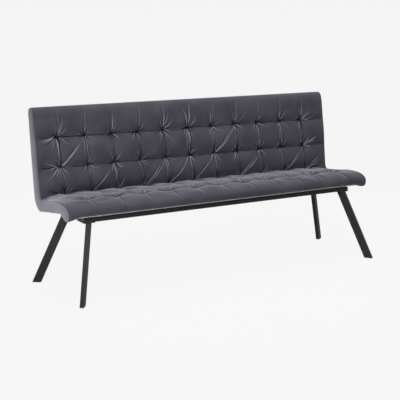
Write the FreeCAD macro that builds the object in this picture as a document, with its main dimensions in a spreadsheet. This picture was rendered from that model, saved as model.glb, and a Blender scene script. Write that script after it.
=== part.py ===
import FreeCAD, Part
import Sketcher
import math
import os
from FreeCAD import Placement, Rotation, Vector

# Upholstered bench with a tufted seat and back on a splayed steel frame.
# Millimetres. X runs along the bench, +Y to the back, +Z up. The origin lies on the floor, under the
# middle of the bench's length and of its overall depth.

doc = FreeCAD.newDocument("bench")
sizes = doc.addObject("Spreadsheet::Sheet", "sizes")

DRIVING_SIZES = [
    ("bench_length", 1800, "overall length of the upholstery"),
    ("overall_depth", 584, "from the toes of the front feet to the top of the back"),
    ("crease_height", 437, "floor to the line where the seat and back surfaces meet"),
    ("seat_tilt", 8, "rise of the seat towards the front, degrees"),
    ("back_recline", 7, "lean of the back, degrees"),
    ("back_length", 458, "crease to the top of the back, along the back"),
    ("nose_overhang", 42.5, "nose ahead of the front rail"),
    ("tuft_columns", 11, "number of tuft columns"),
    ("end_pillow_cut", 12, "how much narrower a pillow at an end is than the others"),
    ("row_pitch", 150, "spacing of the tuft rows up the back from the crease"),
    ("seat_row_share", 0.64, "place of the tuft row on the seat, as a share of crease to nose"),
    ("back_pad_thick", 54, "foam and cover in front of the back board"),
    ("seat_pad_thick", 32, "foam and cover above the seat board"),
    ("back_tuft_depth", 38, "pit of a tuft on the back"),
    ("seat_tuft_depth", 24, "pit of a tuft on the seat"),
    ("channel_depth", 11, "groove between two tufts of one row"),
    ("seam_depth", 9, "groove between two tufts of one column"),
    ("pillow_crown", 5, "rise of each pillow above the flat surface"),
    ("top_radius", 22, "rounding along the top of the back"),
    ("edge_round", 16, "drawn in edge of the pads at both ends"),
    ("nose_drop", 85, "seat surface to the lower edge of the nose"),
    ("nose_foam", 24, "set back of the seat board and front batten from the front of the frame"),
    ("nose_roll", 60, "length of the curve from the seat surface to the nose"),
    ("nose_shoulder", 20, "drop of the seat surface where that curve starts"),
    ("lip_width", 20, "front of the nose to its lower edge, along the seat"),
    ("board_thick", 12, "plywood of the seat and back boards"),
    ("skin_thick", 2, "cover cloth with its wadding"),
    ("panel_thick", 3, "padded cloth panel at each end"),
    ("end_drop", 13, "end panel below the seat board"),
    ("corner_radius", 70, "outside rounding where the back meets the underside"),
    ("frame_inset", 98, "end of the upholstery to the end of the steel frame"),
    ("frame_setback", 19.37, "crease line behind the rear of the frame"),
    ("frame_drop", 65, "crease line above the underside of the frame"),
    ("rail_width", 40, "flat width of the frame tube"),
    ("rail_height", 20, "height of the frame tube"),
    ("tube_wall", 2, "wall of every steel tube"),
    ("leg_width", 40, "wide side of the leg tube"),
    ("leg_thick", 20, "narrow side of the leg tube"),
    ("leg_inset", 32, "frame end to the middle of a leg's top"),
    ("front_splay_x", 101, "sideways splay of a front leg"),
    ("toe_setback", 24, "middle of a front foot behind the front of the overall depth"),
    ("rear_splay_x", 136, "sideways splay of a rear leg"),
    ("heel_setback", 59, "middle of a rear foot ahead of the rear of the overall depth"),
    ("plate_length", 57, "mounting plate on top of a leg, along the long rail"),
    ("plate_width", 84, "mounting plate along the cross rail"),
    ("plate_thick", 4, "thickness of a mounting plate"),
    ("sole_thick", 4, "sole of a foot cap"),
    ("plug_depth", 18, "how far caps and plugs reach into their tubes"),
    ("plug_clearance", 0.3, "gap around a plug in its tube"),
    ("bolt_shank", 6, "diameter of a leg bolt"),
    ("bolt_head", 11, "diameter of its head"),
    ("bolt_length", 14, "length of its shank"),
    ("bolt_margin", 12, "edge of a plate to the middle of a bolt"),
    ("bolt_spacing", 18, "spacing of the two bolts of a plate, across the cross rail"),
    ("screw_shank", 5, "diameter of a frame screw"),
    ("screw_head", 10, "diameter of its head"),
    ("screw_bite", 8, "how far a frame screw reaches past the rail"),
    ("screw_inset", 12, "frame screws from the middle of a rail towards the middle of the frame"),
    ("screw_margin", 115, "end of a rail to its first frame screw"),
    ("screws_per_rail", 5, "number of frame screws in a long rail"),
    ("head_height", 3, "height of a screw or bolt head"),
    ("hole_clearance", 0.4, "extra diameter of a hole over its screw"),
    ("bracket_width", 30, "corner bracket along the bench"),
    ("bracket_thick", 4, "steel of a corner bracket"),
    ("bracket_arm_length", 90, "each arm of a corner bracket"),
    ("bracket_margin", 100, "end of the upholstery to the first corner bracket"),
    ("bracket_count", 5, "number of corner brackets"),
    ("tie_diameter", 2.4, "twine of a tuft"),
    ("anchor_diameter", 16, "washer that holds a twine behind its board"),
    ("anchor_thick", 1.5, "thickness of that washer"),
    ("hem_height", 2, "folded hem under the nose"),
    ("hem_width", 22, "hem from front to back"),
    ("end_batten_width", 24, "timber strip under each end of the seat board"),
    ("touch_gap", 0.4, "clearance between a soft piece and a neighbour that isn't glued to it"),
]
DERIVED_SIZES = [
    (
        "crease_place",
        "overall_depth / 2 - (back_length - top_radius) * sin(back_recline)"
        " - (back_pad_thick + board_thick + skin_thick) * cos(back_recline)",
        "crease line behind the middle of the overall depth",
    ),
    ("frame_length", "bench_length - 2 * frame_inset", "length of the steel frame"),
    ("frame_depth", "2 * (crease_place - frame_setback)", "depth of the steel frame"),
    ("frame_bottom", "crease_height - frame_drop", "floor to the underside of the frame"),
    (
        "front_splay_y",
        "(overall_depth - frame_depth + rail_width) / 2 - toe_setback",
        "forward splay of a front leg",
    ),
    (
        "rear_splay_y",
        "(overall_depth - frame_depth + rail_width) / 2 - heel_setback",
        "backward splay of a rear leg",
    ),
    (
        "tuft_pitch",
        "(bench_length - 2 * panel_thick + 2 * end_pillow_cut) / (tuft_columns + 1)",
        "spacing of the tuft columns",
    ),
    (
        "screw_spacing",
        "(frame_length - 2 * screw_margin) / (screws_per_rail - 1)",
        "spacing of the frame screws along a rail",
    ),
    (
        "bracket_spacing",
        "(bench_length - 2 * bracket_margin) / (bracket_count - 1)",
        "spacing of the corner brackets",
    ),
]
for row, (alias, value, note) in enumerate(DRIVING_SIZES, start=1):
    sizes.set(f"A{row}", note)
    sizes.set(f"B{row}", str(value))
    sizes.setAlias(f"B{row}", alias)
for row, (alias, formula, note) in enumerate(DERIVED_SIZES, start=len(DRIVING_SIZES) + 1):
    sizes.set(f"A{row}", note)
    sizes.set(f"B{row}", "=" + formula)
    sizes.setAlias(f"B{row}", alias)
    doc.recompute()


def size(alias):
    """The number in one cell of the size sheet."""
    return float(sizes.get(alias))


# Reference lines of the section, looking along the bench

TILT = math.radians(size("seat_tilt"))
BACK_THICK = size("back_pad_thick") + size("board_thick") + size("skin_thick")
TOP_ROLL = size("back_length") - size("top_radius")
CREASE = Vector(0, size("crease_place"), size("crease_height"))
X_AXIS = Vector(1, 0, 0)
Z_AXIS = Vector(0, 0, 1)
SEAT_FRAME = Placement(CREASE, Rotation(X_AXIS, -size("seat_tilt")))
BACK_FRAME = Placement(CREASE, Rotation(X_AXIS, -size("back_recline")))

SEAT_TOP_OF_BOARD = -size("seat_pad_thick")
SEAT_UNDER_BOARD = SEAT_TOP_OF_BOARD - size("board_thick")
SEAT_UNDERSIDE = SEAT_UNDER_BOARD - size("end_drop")
BACK_FRONT_OF_BOARD = -size("back_pad_thick")
BACK_REAR_OF_BOARD = BACK_FRONT_OF_BOARD - size("board_thick")
BACK_REAR = -BACK_THICK

PAD_LENGTH = size("bench_length") - 2 * size("panel_thick")
FRAME_TOP = size("frame_bottom") + size("rail_height")
RAIL_FRONT = -size("frame_depth") / 2
RAIL_MIDDLE = size("frame_depth") / 2 - size("rail_width") / 2
NOSE_CORE = RAIL_FRONT + size("nose_foam")


def on_seat(x, along, out):
    """Point at a distance along the seat from the crease and out of the seat surface."""
    return SEAT_FRAME.multVec(Vector(x, -along, out))


def on_back(x, up, out):
    """Point at a distance up the back from the crease and out of the back surface."""
    return BACK_FRAME.multVec(Vector(x, -out, up))


def seat_along_at(y, out):
    """Distance along the seat at which a line parallel to its surface meets a given depth."""
    return (CREASE.y - y + out * math.sin(TILT)) / math.cos(TILT)


NOSE_TIP_SHARE = 0.77
NOSE_TIP_OUT = -NOSE_TIP_SHARE * size("nose_drop")
SEAT_REACH = seat_along_at(RAIL_FRONT - size("nose_overhang"), NOSE_TIP_OUT)


def meet(back_point, seat_point):
    """Where a line up the back through one point meets a line along the seat through another."""
    up = on_back(0, 1, 0) - on_back(0, 0, 0)
    along = on_seat(0, 1, 0) - on_seat(0, 0, 0)
    gap = seat_point - back_point
    cross = up.y * along.z - up.z * along.y
    return back_point + up * ((gap.y * along.z - gap.z * along.y) / cross)


def spread(count, spacing):
    """Evenly spaced places on both sides of the middle."""
    return [(index - (count - 1) / 2) * spacing for index in range(count)]


# Makers of document objects

def add_box(name, length, width, height, placement):
    """Box whose three sides follow expressions on the size sheet."""
    box = doc.addObject("Part::Box", name)
    box.setExpression("Length", length)
    box.setExpression("Width", width)
    box.setExpression("Height", height)
    box.Placement = placement
    return box


def add_pin(name, diameter, height, placement):
    """Cylinder whose diameter and height follow expressions on the size sheet."""
    pin = doc.addObject("Part::Cylinder", name)
    pin.setExpression("Radius", f"({diameter}) / 2")
    pin.setExpression("Height", height)
    pin.Placement = placement
    return pin


def add_group(name, members):
    """Separate solids kept together under one name."""
    group = doc.addObject("Part::Compound", name)
    group.Links = members
    return group


def add_cut(name, base, tools):
    """A base with every tool taken out of it."""
    cut = doc.addObject("Part::Cut", name)
    cut.Base = base
    cut.Tool = tools[0] if len(tools) == 1 else add_group(name + "_tools", tools)
    return cut


def add_tube(name, length, placement, holes=()):
    """Flat frame tube along its own X axis."""
    outer = add_box(name + "_outer", length, "sizes.rail_width", "sizes.rail_height", placement)
    bore = add_box(
        name + "_bore",
        f"{length} + 2 * sizes.tube_wall",
        "sizes.rail_width - 2 * sizes.tube_wall",
        "sizes.rail_height - 2 * sizes.tube_wall",
        placement * Placement(Vector(-1, 1, 1) * size("tube_wall"), Rotation()),
    )
    return add_cut(name, outer, [bore, *holes])


def arc_edge(start, middle, end):
    """Arc of under half a circle through three points."""
    return Part.Arc(start, middle, end).toShape()


def line_edge(start, end):
    """Straight edge."""
    return Part.LineSegment(start, end).toShape()


def add_prism(name, points, length):
    """Solid with one outline across the bench and a length along it.

    A pair in the outline is the start of an arc and a point that the arc goes through.
    """
    edges = []
    for start, end in zip(points, points[1:] + points[:1]):
        end = end[0] if isinstance(end, tuple) else end
        if isinstance(start, tuple):
            edges.append(arc_edge(start[0], start[1], end))
        else:
            edges.append(line_edge(start, end))
    face = Part.Face(Part.Wire(edges))
    feature = doc.addObject("Part::Feature", name)
    feature.Shape = face.extrude(X_AXIS * length)
    feature.Placement = Placement(Vector(-length / 2, 0, 0), Rotation())
    return feature


def origin_plane(body, role):
    """One of a body's own origin planes."""
    return next(item for item in body.Origin.OriginFeatures if item.Role == role)


def add_rectangle(sketch, length, width, tag):
    """Centred rectangle with both sides bound to the size sheet."""
    half_x = 10
    half_y = 5
    corners = [(-half_x, -half_y), (half_x, -half_y), (half_x, half_y), (-half_x, half_y)]
    first = sketch.GeometryCount
    for start, end in zip(corners, corners[1:] + corners[:1]):
        sketch.addGeometry(Part.LineSegment(Vector(*start, 0), Vector(*end, 0)))
    for side in range(4):
        other = (side + 1) % 4
        sketch.addConstraint(Sketcher.Constraint("Coincident", first + side, 2, first + other, 1))
    for side in (0, 2):
        sketch.addConstraint(Sketcher.Constraint("Horizontal", first + side))
        sketch.addConstraint(Sketcher.Constraint("Vertical", first + side + 1))
    sketch.addConstraint(Sketcher.Constraint("Symmetric", first, 1, first + 1, 2, -1, 1))
    across = sketch.addConstraint(Sketcher.Constraint("DistanceX", first, 1, first, 2, 2 * half_x))
    sketch.renameConstraint(across, tag + "_length")
    sketch.setExpression(f"Constraints.{tag}_length", length)
    deep = sketch.addConstraint(Sketcher.Constraint("DistanceY", first + 1, 1, first + 1, 2, 2 * half_y))
    sketch.renameConstraint(deep, tag + "_width")
    sketch.setExpression(f"Constraints.{tag}_width", width)


def add_leaning_pad(body, name, rectangles, height, lean):
    """Pad that rises along a leaning direction, so that both ends stay level."""
    sketch = body.newObject("Sketcher::SketchObject", name + "_sketch")
    sketch.AttachmentSupport = (origin_plane(body, "XY_Plane"), [""])
    sketch.MapMode = "FlatFace"
    for tag, (length, width) in rectangles.items():
        add_rectangle(sketch, length, width, tag)
    pad = body.newObject("PartDesign::Pad", name)
    pad.Profile = sketch
    pad.UseCustomVector = True
    pad.Direction = lean
    pad.AlongSketchNormal = True
    pad.setExpression("Length", height)
    body.Tip = pad
    return pad


# Screws, bolts and the holes that they pass through

SCREW_X = spread(int(size("screws_per_rail")), size("screw_spacing"))
ENDS = (("front", -1), ("rear", 1))
SIDES = (("left", -1), ("right", 1))
SCREW_LINE = RAIL_MIDDLE - size("screw_inset")
FRAME_SCREW_PLACES = [
    Vector(x, sign * SCREW_LINE, size("frame_bottom")) for _, sign in ENDS for x in SCREW_X
]
LEG_TOP_X = size("frame_length") / 2 - size("leg_inset")
CROSS_RAIL_X = size("frame_length") / 2 - size("rail_width") / 2
PLATE_INNER_X = size("frame_length") / 2 - size("plate_length")
PLATE_INNER_Y = size("frame_depth") / 2 - size("plate_width")


def leg_bolt_places(end_sign, side_sign):
    """Two bolts of a plate, side by side in the cross rail."""
    y = end_sign * (PLATE_INNER_Y + size("bolt_margin"))
    steps = spread(2, size("bolt_spacing"))
    return [Vector(side_sign * (CROSS_RAIL_X + step), y, size("frame_bottom")) for step in steps]


SCREW_LENGTH = "(sizes.rail_height + sizes.screw_bite)"


def screw_holes(name, places):
    """Clearance holes for frame screws, through a rail and into what lies on it."""
    return [
        add_pin(
            f"{name}_hole_{index}",
            "sizes.screw_shank + sizes.hole_clearance",
            f"{SCREW_LENGTH} + 2 * sizes.head_height",
            Placement(place - Z_AXIS * size("head_height"), Rotation()),
        )
        for index, place in enumerate(places)
    ]


def bolt_holes(name, places):
    """Clearance holes for leg bolts, through a plate and the lower wall of a rail."""
    drop = size("plate_thick") + size("head_height")
    return [
        add_pin(
            f"{name}_bolt_hole_{index}",
            "sizes.bolt_shank + sizes.hole_clearance",
            "sizes.bolt_length + sizes.head_height",
            Placement(place - Z_AXIS * drop, Rotation()),
        )
        for index, place in enumerate(places)
    ]


def add_headed_pin(name, shank, head, reach, place):
    """Screw or bolt that points up, with its head below the given place."""
    shaft = add_pin(name + "_shank", shank, reach, Placement(place, Rotation()))
    cap_place = Placement(place - Z_AXIS * size("head_height"), Rotation())
    cap = add_pin(name + "_head", head, "sizes.head_height", cap_place)
    whole = doc.addObject("Part::Fuse", name)
    whole.Base = shaft
    whole.Tool = cap
    return whole


# Steel frame

def add_frame():
    """Two long rails and three cross rails of flat tube."""
    pieces = []
    for end, sign in ENDS:
        side_y = sign * RAIL_MIDDLE - size("rail_width") / 2
        corner = Vector(-size("frame_length") / 2, side_y, size("frame_bottom"))
        places = [place for place in FRAME_SCREW_PLACES if place.y * sign > 0]
        holes = screw_holes(f"{end}_rail", places)
        pieces.append(add_tube(f"{end}_rail", "sizes.frame_length", Placement(corner, Rotation()), holes))
    for name, side_sign in (("left", -1), ("centre", 0), ("right", 1)):
        x = side_sign * CROSS_RAIL_X
        holes = []
        if side_sign:
            for end, end_sign in ENDS:
                holes += bolt_holes(f"{name}_cross_rail_{end}", leg_bolt_places(end_sign, side_sign))
        corner = Vector(x + size("rail_width") / 2, RAIL_FRONT + size("rail_width"), size("frame_bottom"))
        placement = Placement(corner, Rotation(Z_AXIS, 90))
        run = "(sizes.frame_depth - 2 * sizes.rail_width)"
        pieces.append(add_tube(f"{name}_cross_rail", run, placement, holes))
    return pieces


def add_rail_plugs():
    """Plastic plugs that close the four ends of the long rails."""
    plugs = []
    inset = size("tube_wall") + size("plug_clearance")
    for end, end_sign in ENDS:
        for side, side_sign in SIDES:
            start_x = side_sign * size("frame_length") / 2 - (size("plug_depth") if side_sign > 0 else 0)
            start_y = end_sign * RAIL_MIDDLE - size("rail_width") / 2 + inset
            plugs.append(add_box(
                f"rail_plug_{end}_{side}",
                "sizes.plug_depth",
                "sizes.rail_width - 2 * (sizes.tube_wall + sizes.plug_clearance)",
                "sizes.rail_height - 2 * (sizes.tube_wall + sizes.plug_clearance)",
                Placement(Vector(start_x, start_y, size("frame_bottom") + inset), Rotation()),
            ))
    return add_group("rail_end_plugs", plugs)


# Legs with their plates and feet

def add_leg(end, end_sign, side, side_sign):
    """Splayed leg, its mounting plate, its foot cap and its two bolts."""
    name = f"{end}_{side}"
    splay_x = f"sizes.{end}_splay_x"
    splay_y = f"sizes.{end}_splay_y"
    rise = "(sizes.frame_bottom - sizes.plate_thick)"
    stretch = f"sqrt(1 + ({splay_x} ^ 2 + {splay_y} ^ 2) / {rise} ^ 2)"
    outer = (f"sizes.leg_width * {stretch}", "sizes.leg_thick")
    bore = (
        f"(sizes.leg_width - 2 * sizes.tube_wall) * {stretch}",
        "sizes.leg_thick - 2 * sizes.tube_wall",
    )
    plug = (
        f"(sizes.leg_width - 2 * sizes.tube_wall - 2 * sizes.plug_clearance) * {stretch}",
        "sizes.leg_thick - 2 * sizes.tube_wall - 2 * sizes.plug_clearance",
    )
    splay = Vector(side_sign * size(f"{end}_splay_x"), end_sign * size(f"{end}_splay_y"), 0)
    plate_bottom = size("frame_bottom") - size("plate_thick")
    top = Vector(side_sign * LEG_TOP_X, end_sign * RAIL_MIDDLE, plate_bottom)
    foot = top + splay - Z_AXIS * plate_bottom
    turn = Rotation(X_AXIS, splay)
    lean = Vector(-splay.Length, 0, plate_bottom)
    sole_shift = lean * (size("sole_thick") / plate_bottom)
    floor_place = Placement(foot, turn)
    sole_place = Placement(foot + turn.multVec(sole_shift), turn)

    leg = doc.addObject("PartDesign::Body", f"leg_{name}")
    tube_height = f"{rise} - sizes.sole_thick"
    add_leaning_pad(leg, f"leg_{name}_tube", {"outer": outer, "bore": bore}, tube_height, lean)
    leg.Placement = sole_place

    sole = doc.addObject("PartDesign::Body", f"foot_cap_{name}_sole")
    add_leaning_pad(sole, f"foot_cap_{name}_sole_pad", {"outer": outer}, "sizes.sole_thick", lean)
    sole.Placement = floor_place
    stem = doc.addObject("PartDesign::Body", f"foot_cap_{name}_stem")
    stem_height = "sizes.sole_thick + sizes.plug_depth"
    add_leaning_pad(stem, f"foot_cap_{name}_stem_pad", {"plug": plug}, stem_height, lean)
    stem.Placement = floor_place
    cap = doc.addObject("Part::Fuse", f"foot_cap_{name}")
    cap.Base = sole
    cap.Tool = stem

    corner = Vector(
        PLATE_INNER_X if side_sign > 0 else -size("frame_length") / 2,
        PLATE_INNER_Y if end_sign > 0 else -size("frame_depth") / 2,
        plate_bottom,
    )
    plate_box = add_box(
        f"leg_plate_{name}_blank",
        "sizes.plate_length",
        "sizes.plate_width",
        "sizes.plate_thick",
        Placement(corner, Rotation()),
    )
    places = leg_bolt_places(end_sign, side_sign)
    plate = add_cut(f"leg_plate_{name}", plate_box, bolt_holes(f"leg_plate_{name}", places))
    bolts = [
        add_headed_pin(
            f"leg_bolt_{name}_{index}",
            "sizes.bolt_shank",
            "sizes.bolt_head",
            "sizes.bolt_length",
            place - Z_AXIS * size("plate_thick"),
        )
        for index, place in enumerate(places)
    ]
    return [leg, cap, plate], bolts


# Timber carcase under the upholstery

BRACKET_X = spread(int(size("bracket_count")), size("bracket_spacing"))
TUFT_X = spread(int(size("tuft_columns")), size("tuft_pitch"))
TIE_X = [x + size("tie_diameter") for x in TUFT_X]
BOARD_FOOT_RISE = 4 * size("skin_thick")
BACK_BOARD_LOW = size("corner_radius") + SEAT_UNDERSIDE + BOARD_FOOT_RISE
BACK_BOARD_HIGH = TOP_ROLL
JOIN_OUT = -size("back_pad_thick") / 2
JOIN_FLOOR = meet(on_back(0, 0, JOIN_OUT), on_seat(0, 0, SEAT_TOP_OF_BOARD))
SEAT_BOARD_REAR = -SEAT_FRAME.inverse().multVec(JOIN_FLOOR).y
BACK_BOARD_FOOT = on_back(0, BACK_BOARD_LOW, BACK_FRONT_OF_BOARD)
SEAT_BOARD_FRONT = seat_along_at(NOSE_CORE, SEAT_UNDER_BOARD)
SEAT_ROW = size("seat_row_share") * SEAT_REACH
BACK_ROWS = (size("row_pitch"), 2 * size("row_pitch"))


def arc_through_corner(line_a, line_b, radius):
    """Start, middle and end of a rounding between two lines, each a point and a direction away."""
    point_a, way_a = line_a
    point_b, way_b = line_b
    way_a = way_a.normalize()
    way_b = way_b.normalize()
    cross = way_a.y * way_b.z - way_a.z * way_b.y
    gap = point_b - point_a
    corner = point_a + way_a * ((gap.y * way_b.z - gap.z * way_b.y) / cross)
    half = way_a.getAngle(way_b) / 2
    reach = radius / math.tan(half)
    inward = (way_a + way_b).normalize()
    middle = corner + inward * (radius / math.sin(half) - radius)
    return corner + way_a * reach, middle, corner + way_b * reach


def rear_corner(depth):
    """Rounding between the rear of the back and the underside, a depth below the outer skin."""
    rear = (on_back(0, 0, BACK_REAR + depth), on_back(0, 1, 0) - on_back(0, 0, 0))
    under = (on_seat(0, 0, SEAT_UNDERSIDE + depth), on_seat(0, 1, 0) - on_seat(0, 0, 0))
    return arc_through_corner(rear, under, size("corner_radius") - depth)


def offset_path(points, thick):
    """Corners of a bent bar's other side, a thickness away from its first side."""
    normals = []
    for start, end in zip(points, points[1:]):
        way = (end - start).normalize()
        normals.append(Vector(0, -way.z, way.y))
    corners = [points[0] + normals[0] * thick]
    for point, before, after in zip(points[1:], normals, normals[1:]):
        corners.append(point + (before + after) * (thick / (1 + before.dot(after))))
    corners.append(points[-1] + normals[-1] * thick)
    return corners


def bracket_body(name, x, slack):
    """Bent steel bracket let into both boards and the corner rail, or with some slack its groove."""
    width = size("bracket_width") + 2 * slack
    reach = size("bracket_arm_length") + slack
    path = [
        on_seat(0, SEAT_BOARD_REAR + reach, SEAT_TOP_OF_BOARD),
        JOIN_FLOOR,
        BACK_BOARD_FOOT,
        on_back(0, BACK_BOARD_LOW + reach, BACK_FRONT_OF_BOARD),
    ]
    outer = offset_path(path, -size("bracket_thick"))
    bracket = add_prism(name, path + outer[::-1], width)
    bracket.Placement = Placement(Vector(x - width / 2, 0, 0), Rotation())
    return bracket


def anchor_tools(name, frame, x, y, z, outward):
    """Hole for one twine and the recess for its washer, cut from behind a board."""
    turn = frame.Rotation * Rotation(Z_AXIS, outward)
    hole = add_pin(
        name + "_hole",
        "sizes.tie_diameter + sizes.hole_clearance",
        "2 * sizes.board_thick",
        Placement(frame.multVec(Vector(x, y, z)) - turn.multVec(Z_AXIS) * size("board_thick") / 2, turn),
    )
    recess = add_pin(
        name + "_recess",
        "sizes.anchor_diameter + sizes.hole_clearance",
        "sizes.anchor_thick + sizes.board_thick",
        Placement(frame.multVec(Vector(x, y, z)) - turn.multVec(Z_AXIS) * size("board_thick"), turn),
    )
    return [hole, recess]


BACKWARD = Vector(0, -1, 0)
UPWARD = Vector(0, 0, 1)
BACK_TUFTS = [(x, row) for row in BACK_ROWS for x in TIE_X]


def add_boards():
    """Plywood seat and back with their grooves, twine holes and screw holes."""
    back_tools = []
    for index, (x, row) in enumerate(BACK_TUFTS):
        back_tools += anchor_tools(f"back_tuft_{index}", BACK_FRAME, x, -BACK_REAR_OF_BOARD, row, BACKWARD)
    seat_tools = screw_holes("seat_board", [place for place in FRAME_SCREW_PLACES if place.y > 0])
    for index, x in enumerate(TIE_X):
        seat_tools += anchor_tools(f"seat_tuft_{index}", SEAT_FRAME, x, -SEAT_ROW, SEAT_UNDER_BOARD, UPWARD)
    for index, x in enumerate(BRACKET_X):
        back_tools.append(bracket_body(f"back_groove_{index}", x, size("hole_clearance") / 2))
        seat_tools.append(bracket_body(f"seat_groove_{index}", x, size("hole_clearance") / 2))
    back_blank = add_box(
        "back_board_blank",
        "sizes.bench_length - 2 * sizes.panel_thick",
        "sizes.board_thick",
        f"{BACK_BOARD_HIGH - BACK_BOARD_LOW}",
        BACK_FRAME * Placement(Vector(-PAD_LENGTH / 2, -BACK_FRONT_OF_BOARD, BACK_BOARD_LOW), Rotation()),
    )
    seat_blank = add_box(
        "seat_board_blank",
        "sizes.bench_length - 2 * sizes.panel_thick",
        f"{SEAT_BOARD_FRONT - SEAT_BOARD_REAR}",
        "sizes.board_thick",
        SEAT_FRAME * Placement(Vector(-PAD_LENGTH / 2, -SEAT_BOARD_FRONT, SEAT_UNDER_BOARD), Rotation()),
    )
    return [add_cut("seat_board", seat_blank, seat_tools), add_cut("back_board", back_blank, back_tools)]


def under_board_at(y):
    """Point on the underside of the seat board at a given depth."""
    return on_seat(0, seat_along_at(y, SEAT_UNDER_BOARD), SEAT_UNDER_BOARD)


def add_battens():
    """Timber between the level frame and the tilted seat board, and along both ends of the board."""
    pieces = []
    for end, sign in ENDS:
        rear = sign * RAIL_MIDDLE + size("rail_width") / 2
        front = max(rear - size("rail_width"), NOSE_CORE)
        outline = [
            Vector(0, front, FRAME_TOP),
            Vector(0, rear, FRAME_TOP),
            under_board_at(rear),
            under_board_at(front),
        ]
        blank = add_prism(f"{end}_batten_blank", outline, size("frame_length"))
        places = [place for place in FRAME_SCREW_PLACES if place.y * sign > 0]
        pieces.append(add_cut(f"{end}_batten", blank, screw_holes(f"{end}_batten", places)))
    run_front = seat_along_at(RAIL_FRONT + size("rail_width"), SEAT_UNDER_BOARD)
    run_rear = seat_along_at(RAIL_MIDDLE + size("rail_width") / 2, SEAT_UNDER_BOARD)
    for side, sign in SIDES:
        start_x = sign * PAD_LENGTH / 2 - (size("end_batten_width") if sign > 0 else 0)
        pieces.append(add_box(
            f"{side}_end_batten",
            "sizes.end_batten_width",
            f"{run_front - run_rear}",
            "sizes.end_drop",
            SEAT_FRAME * Placement(Vector(start_x, -run_front, SEAT_UNDERSIDE), Rotation()),
        ))
    return pieces


def add_corner_rail():
    """Timber along the rear corner that carries the back board and rounds the cover."""
    skin = size("skin_thick")
    rear_top, round_middle, round_low = rear_corner(skin)
    under_y = RAIL_MIDDLE + size("rail_width") / 2 + size("touch_gap")
    under_along = seat_along_at(under_y, SEAT_UNDERSIDE + skin)
    outline = [
        BACK_BOARD_FOOT,
        on_back(0, BACK_BOARD_LOW, BACK_REAR_OF_BOARD),
        (rear_top, round_middle),
        round_low,
        on_seat(0, under_along, SEAT_UNDERSIDE + skin),
        under_board_at(under_y),
        on_seat(0, SEAT_BOARD_REAR, SEAT_UNDER_BOARD),
        JOIN_FLOOR,
    ]
    blank = add_prism("corner_rail_blank", outline, PAD_LENGTH)
    slack = size("hole_clearance") / 2
    grooves = [bracket_body(f"corner_groove_{index}", x, slack) for index, x in enumerate(BRACKET_X)]
    return add_cut("corner_rail", blank, grooves)


# Tufted pads

def blend(panel_value, column_value, pull):
    """Value between the middle of a pillow and a tuft column, by how strongly the column pulls."""
    return panel_value + (column_value - panel_value) * pull


def back_section(x, pull, inset):
    """Outline of the back pad at one place: four tufted arcs, the rounded top and the flat rear."""
    crown = size("pillow_crown")
    radius = size("top_radius")
    top = size("back_length") - inset
    row_out = blend(-size("channel_depth"), -size("back_tuft_depth"), pull) - inset
    crest_out = blend(crown, -size("seam_depth"), pull) - inset
    fold_up = blend(row_fold_up(), 0, pull)
    lower_row, upper_row = BACK_ROWS
    shoulder_up = top - radius
    shoulder_out = blend(0, -size("seam_depth") / 2, pull) - inset
    diagonal = radius * (1 - math.sqrt(0.5))
    join = on_back(x, fold_up, JOIN_OUT)
    row_low = on_back(x, lower_row, row_out)
    row_high = on_back(x, upper_row, row_out)
    shoulder = on_back(x, shoulder_up, shoulder_out)
    top_front = on_back(x, top, shoulder_out - radius)
    top_rear = on_back(x, top, BACK_REAR + radius)
    roll_rear = on_back(x, TOP_ROLL, BACK_REAR + inset / 2)
    roll_board = on_back(x, TOP_ROLL, BACK_FRONT_OF_BOARD)
    floor_rear = BACK_BOARD_FOOT + X_AXIS * x
    floor_front = JOIN_FLOOR + X_AXIS * x
    return Part.Wire([
        line_edge(floor_front, join),
        arc_edge(join, on_back(x, (fold_up + lower_row) / 2, crest_out), row_low),
        arc_edge(row_low, on_back(x, (lower_row + upper_row) / 2, crest_out), row_high),
        arc_edge(row_high, on_back(x, (upper_row + shoulder_up) / 2, crest_out), shoulder),
        arc_edge(shoulder, on_back(x, top - diagonal, shoulder_out - diagonal), top_front),
        line_edge(top_front, top_rear),
        arc_edge(top_rear, on_back(x, top - diagonal, BACK_REAR + diagonal), roll_rear),
        line_edge(roll_rear, roll_board),
        line_edge(roll_board, floor_rear),
        line_edge(floor_rear, floor_front),
    ])


def row_fold_up():
    """How high up the back the crease lies in the middle of a pillow."""
    return size("channel_depth") + size("pillow_crown")


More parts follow.
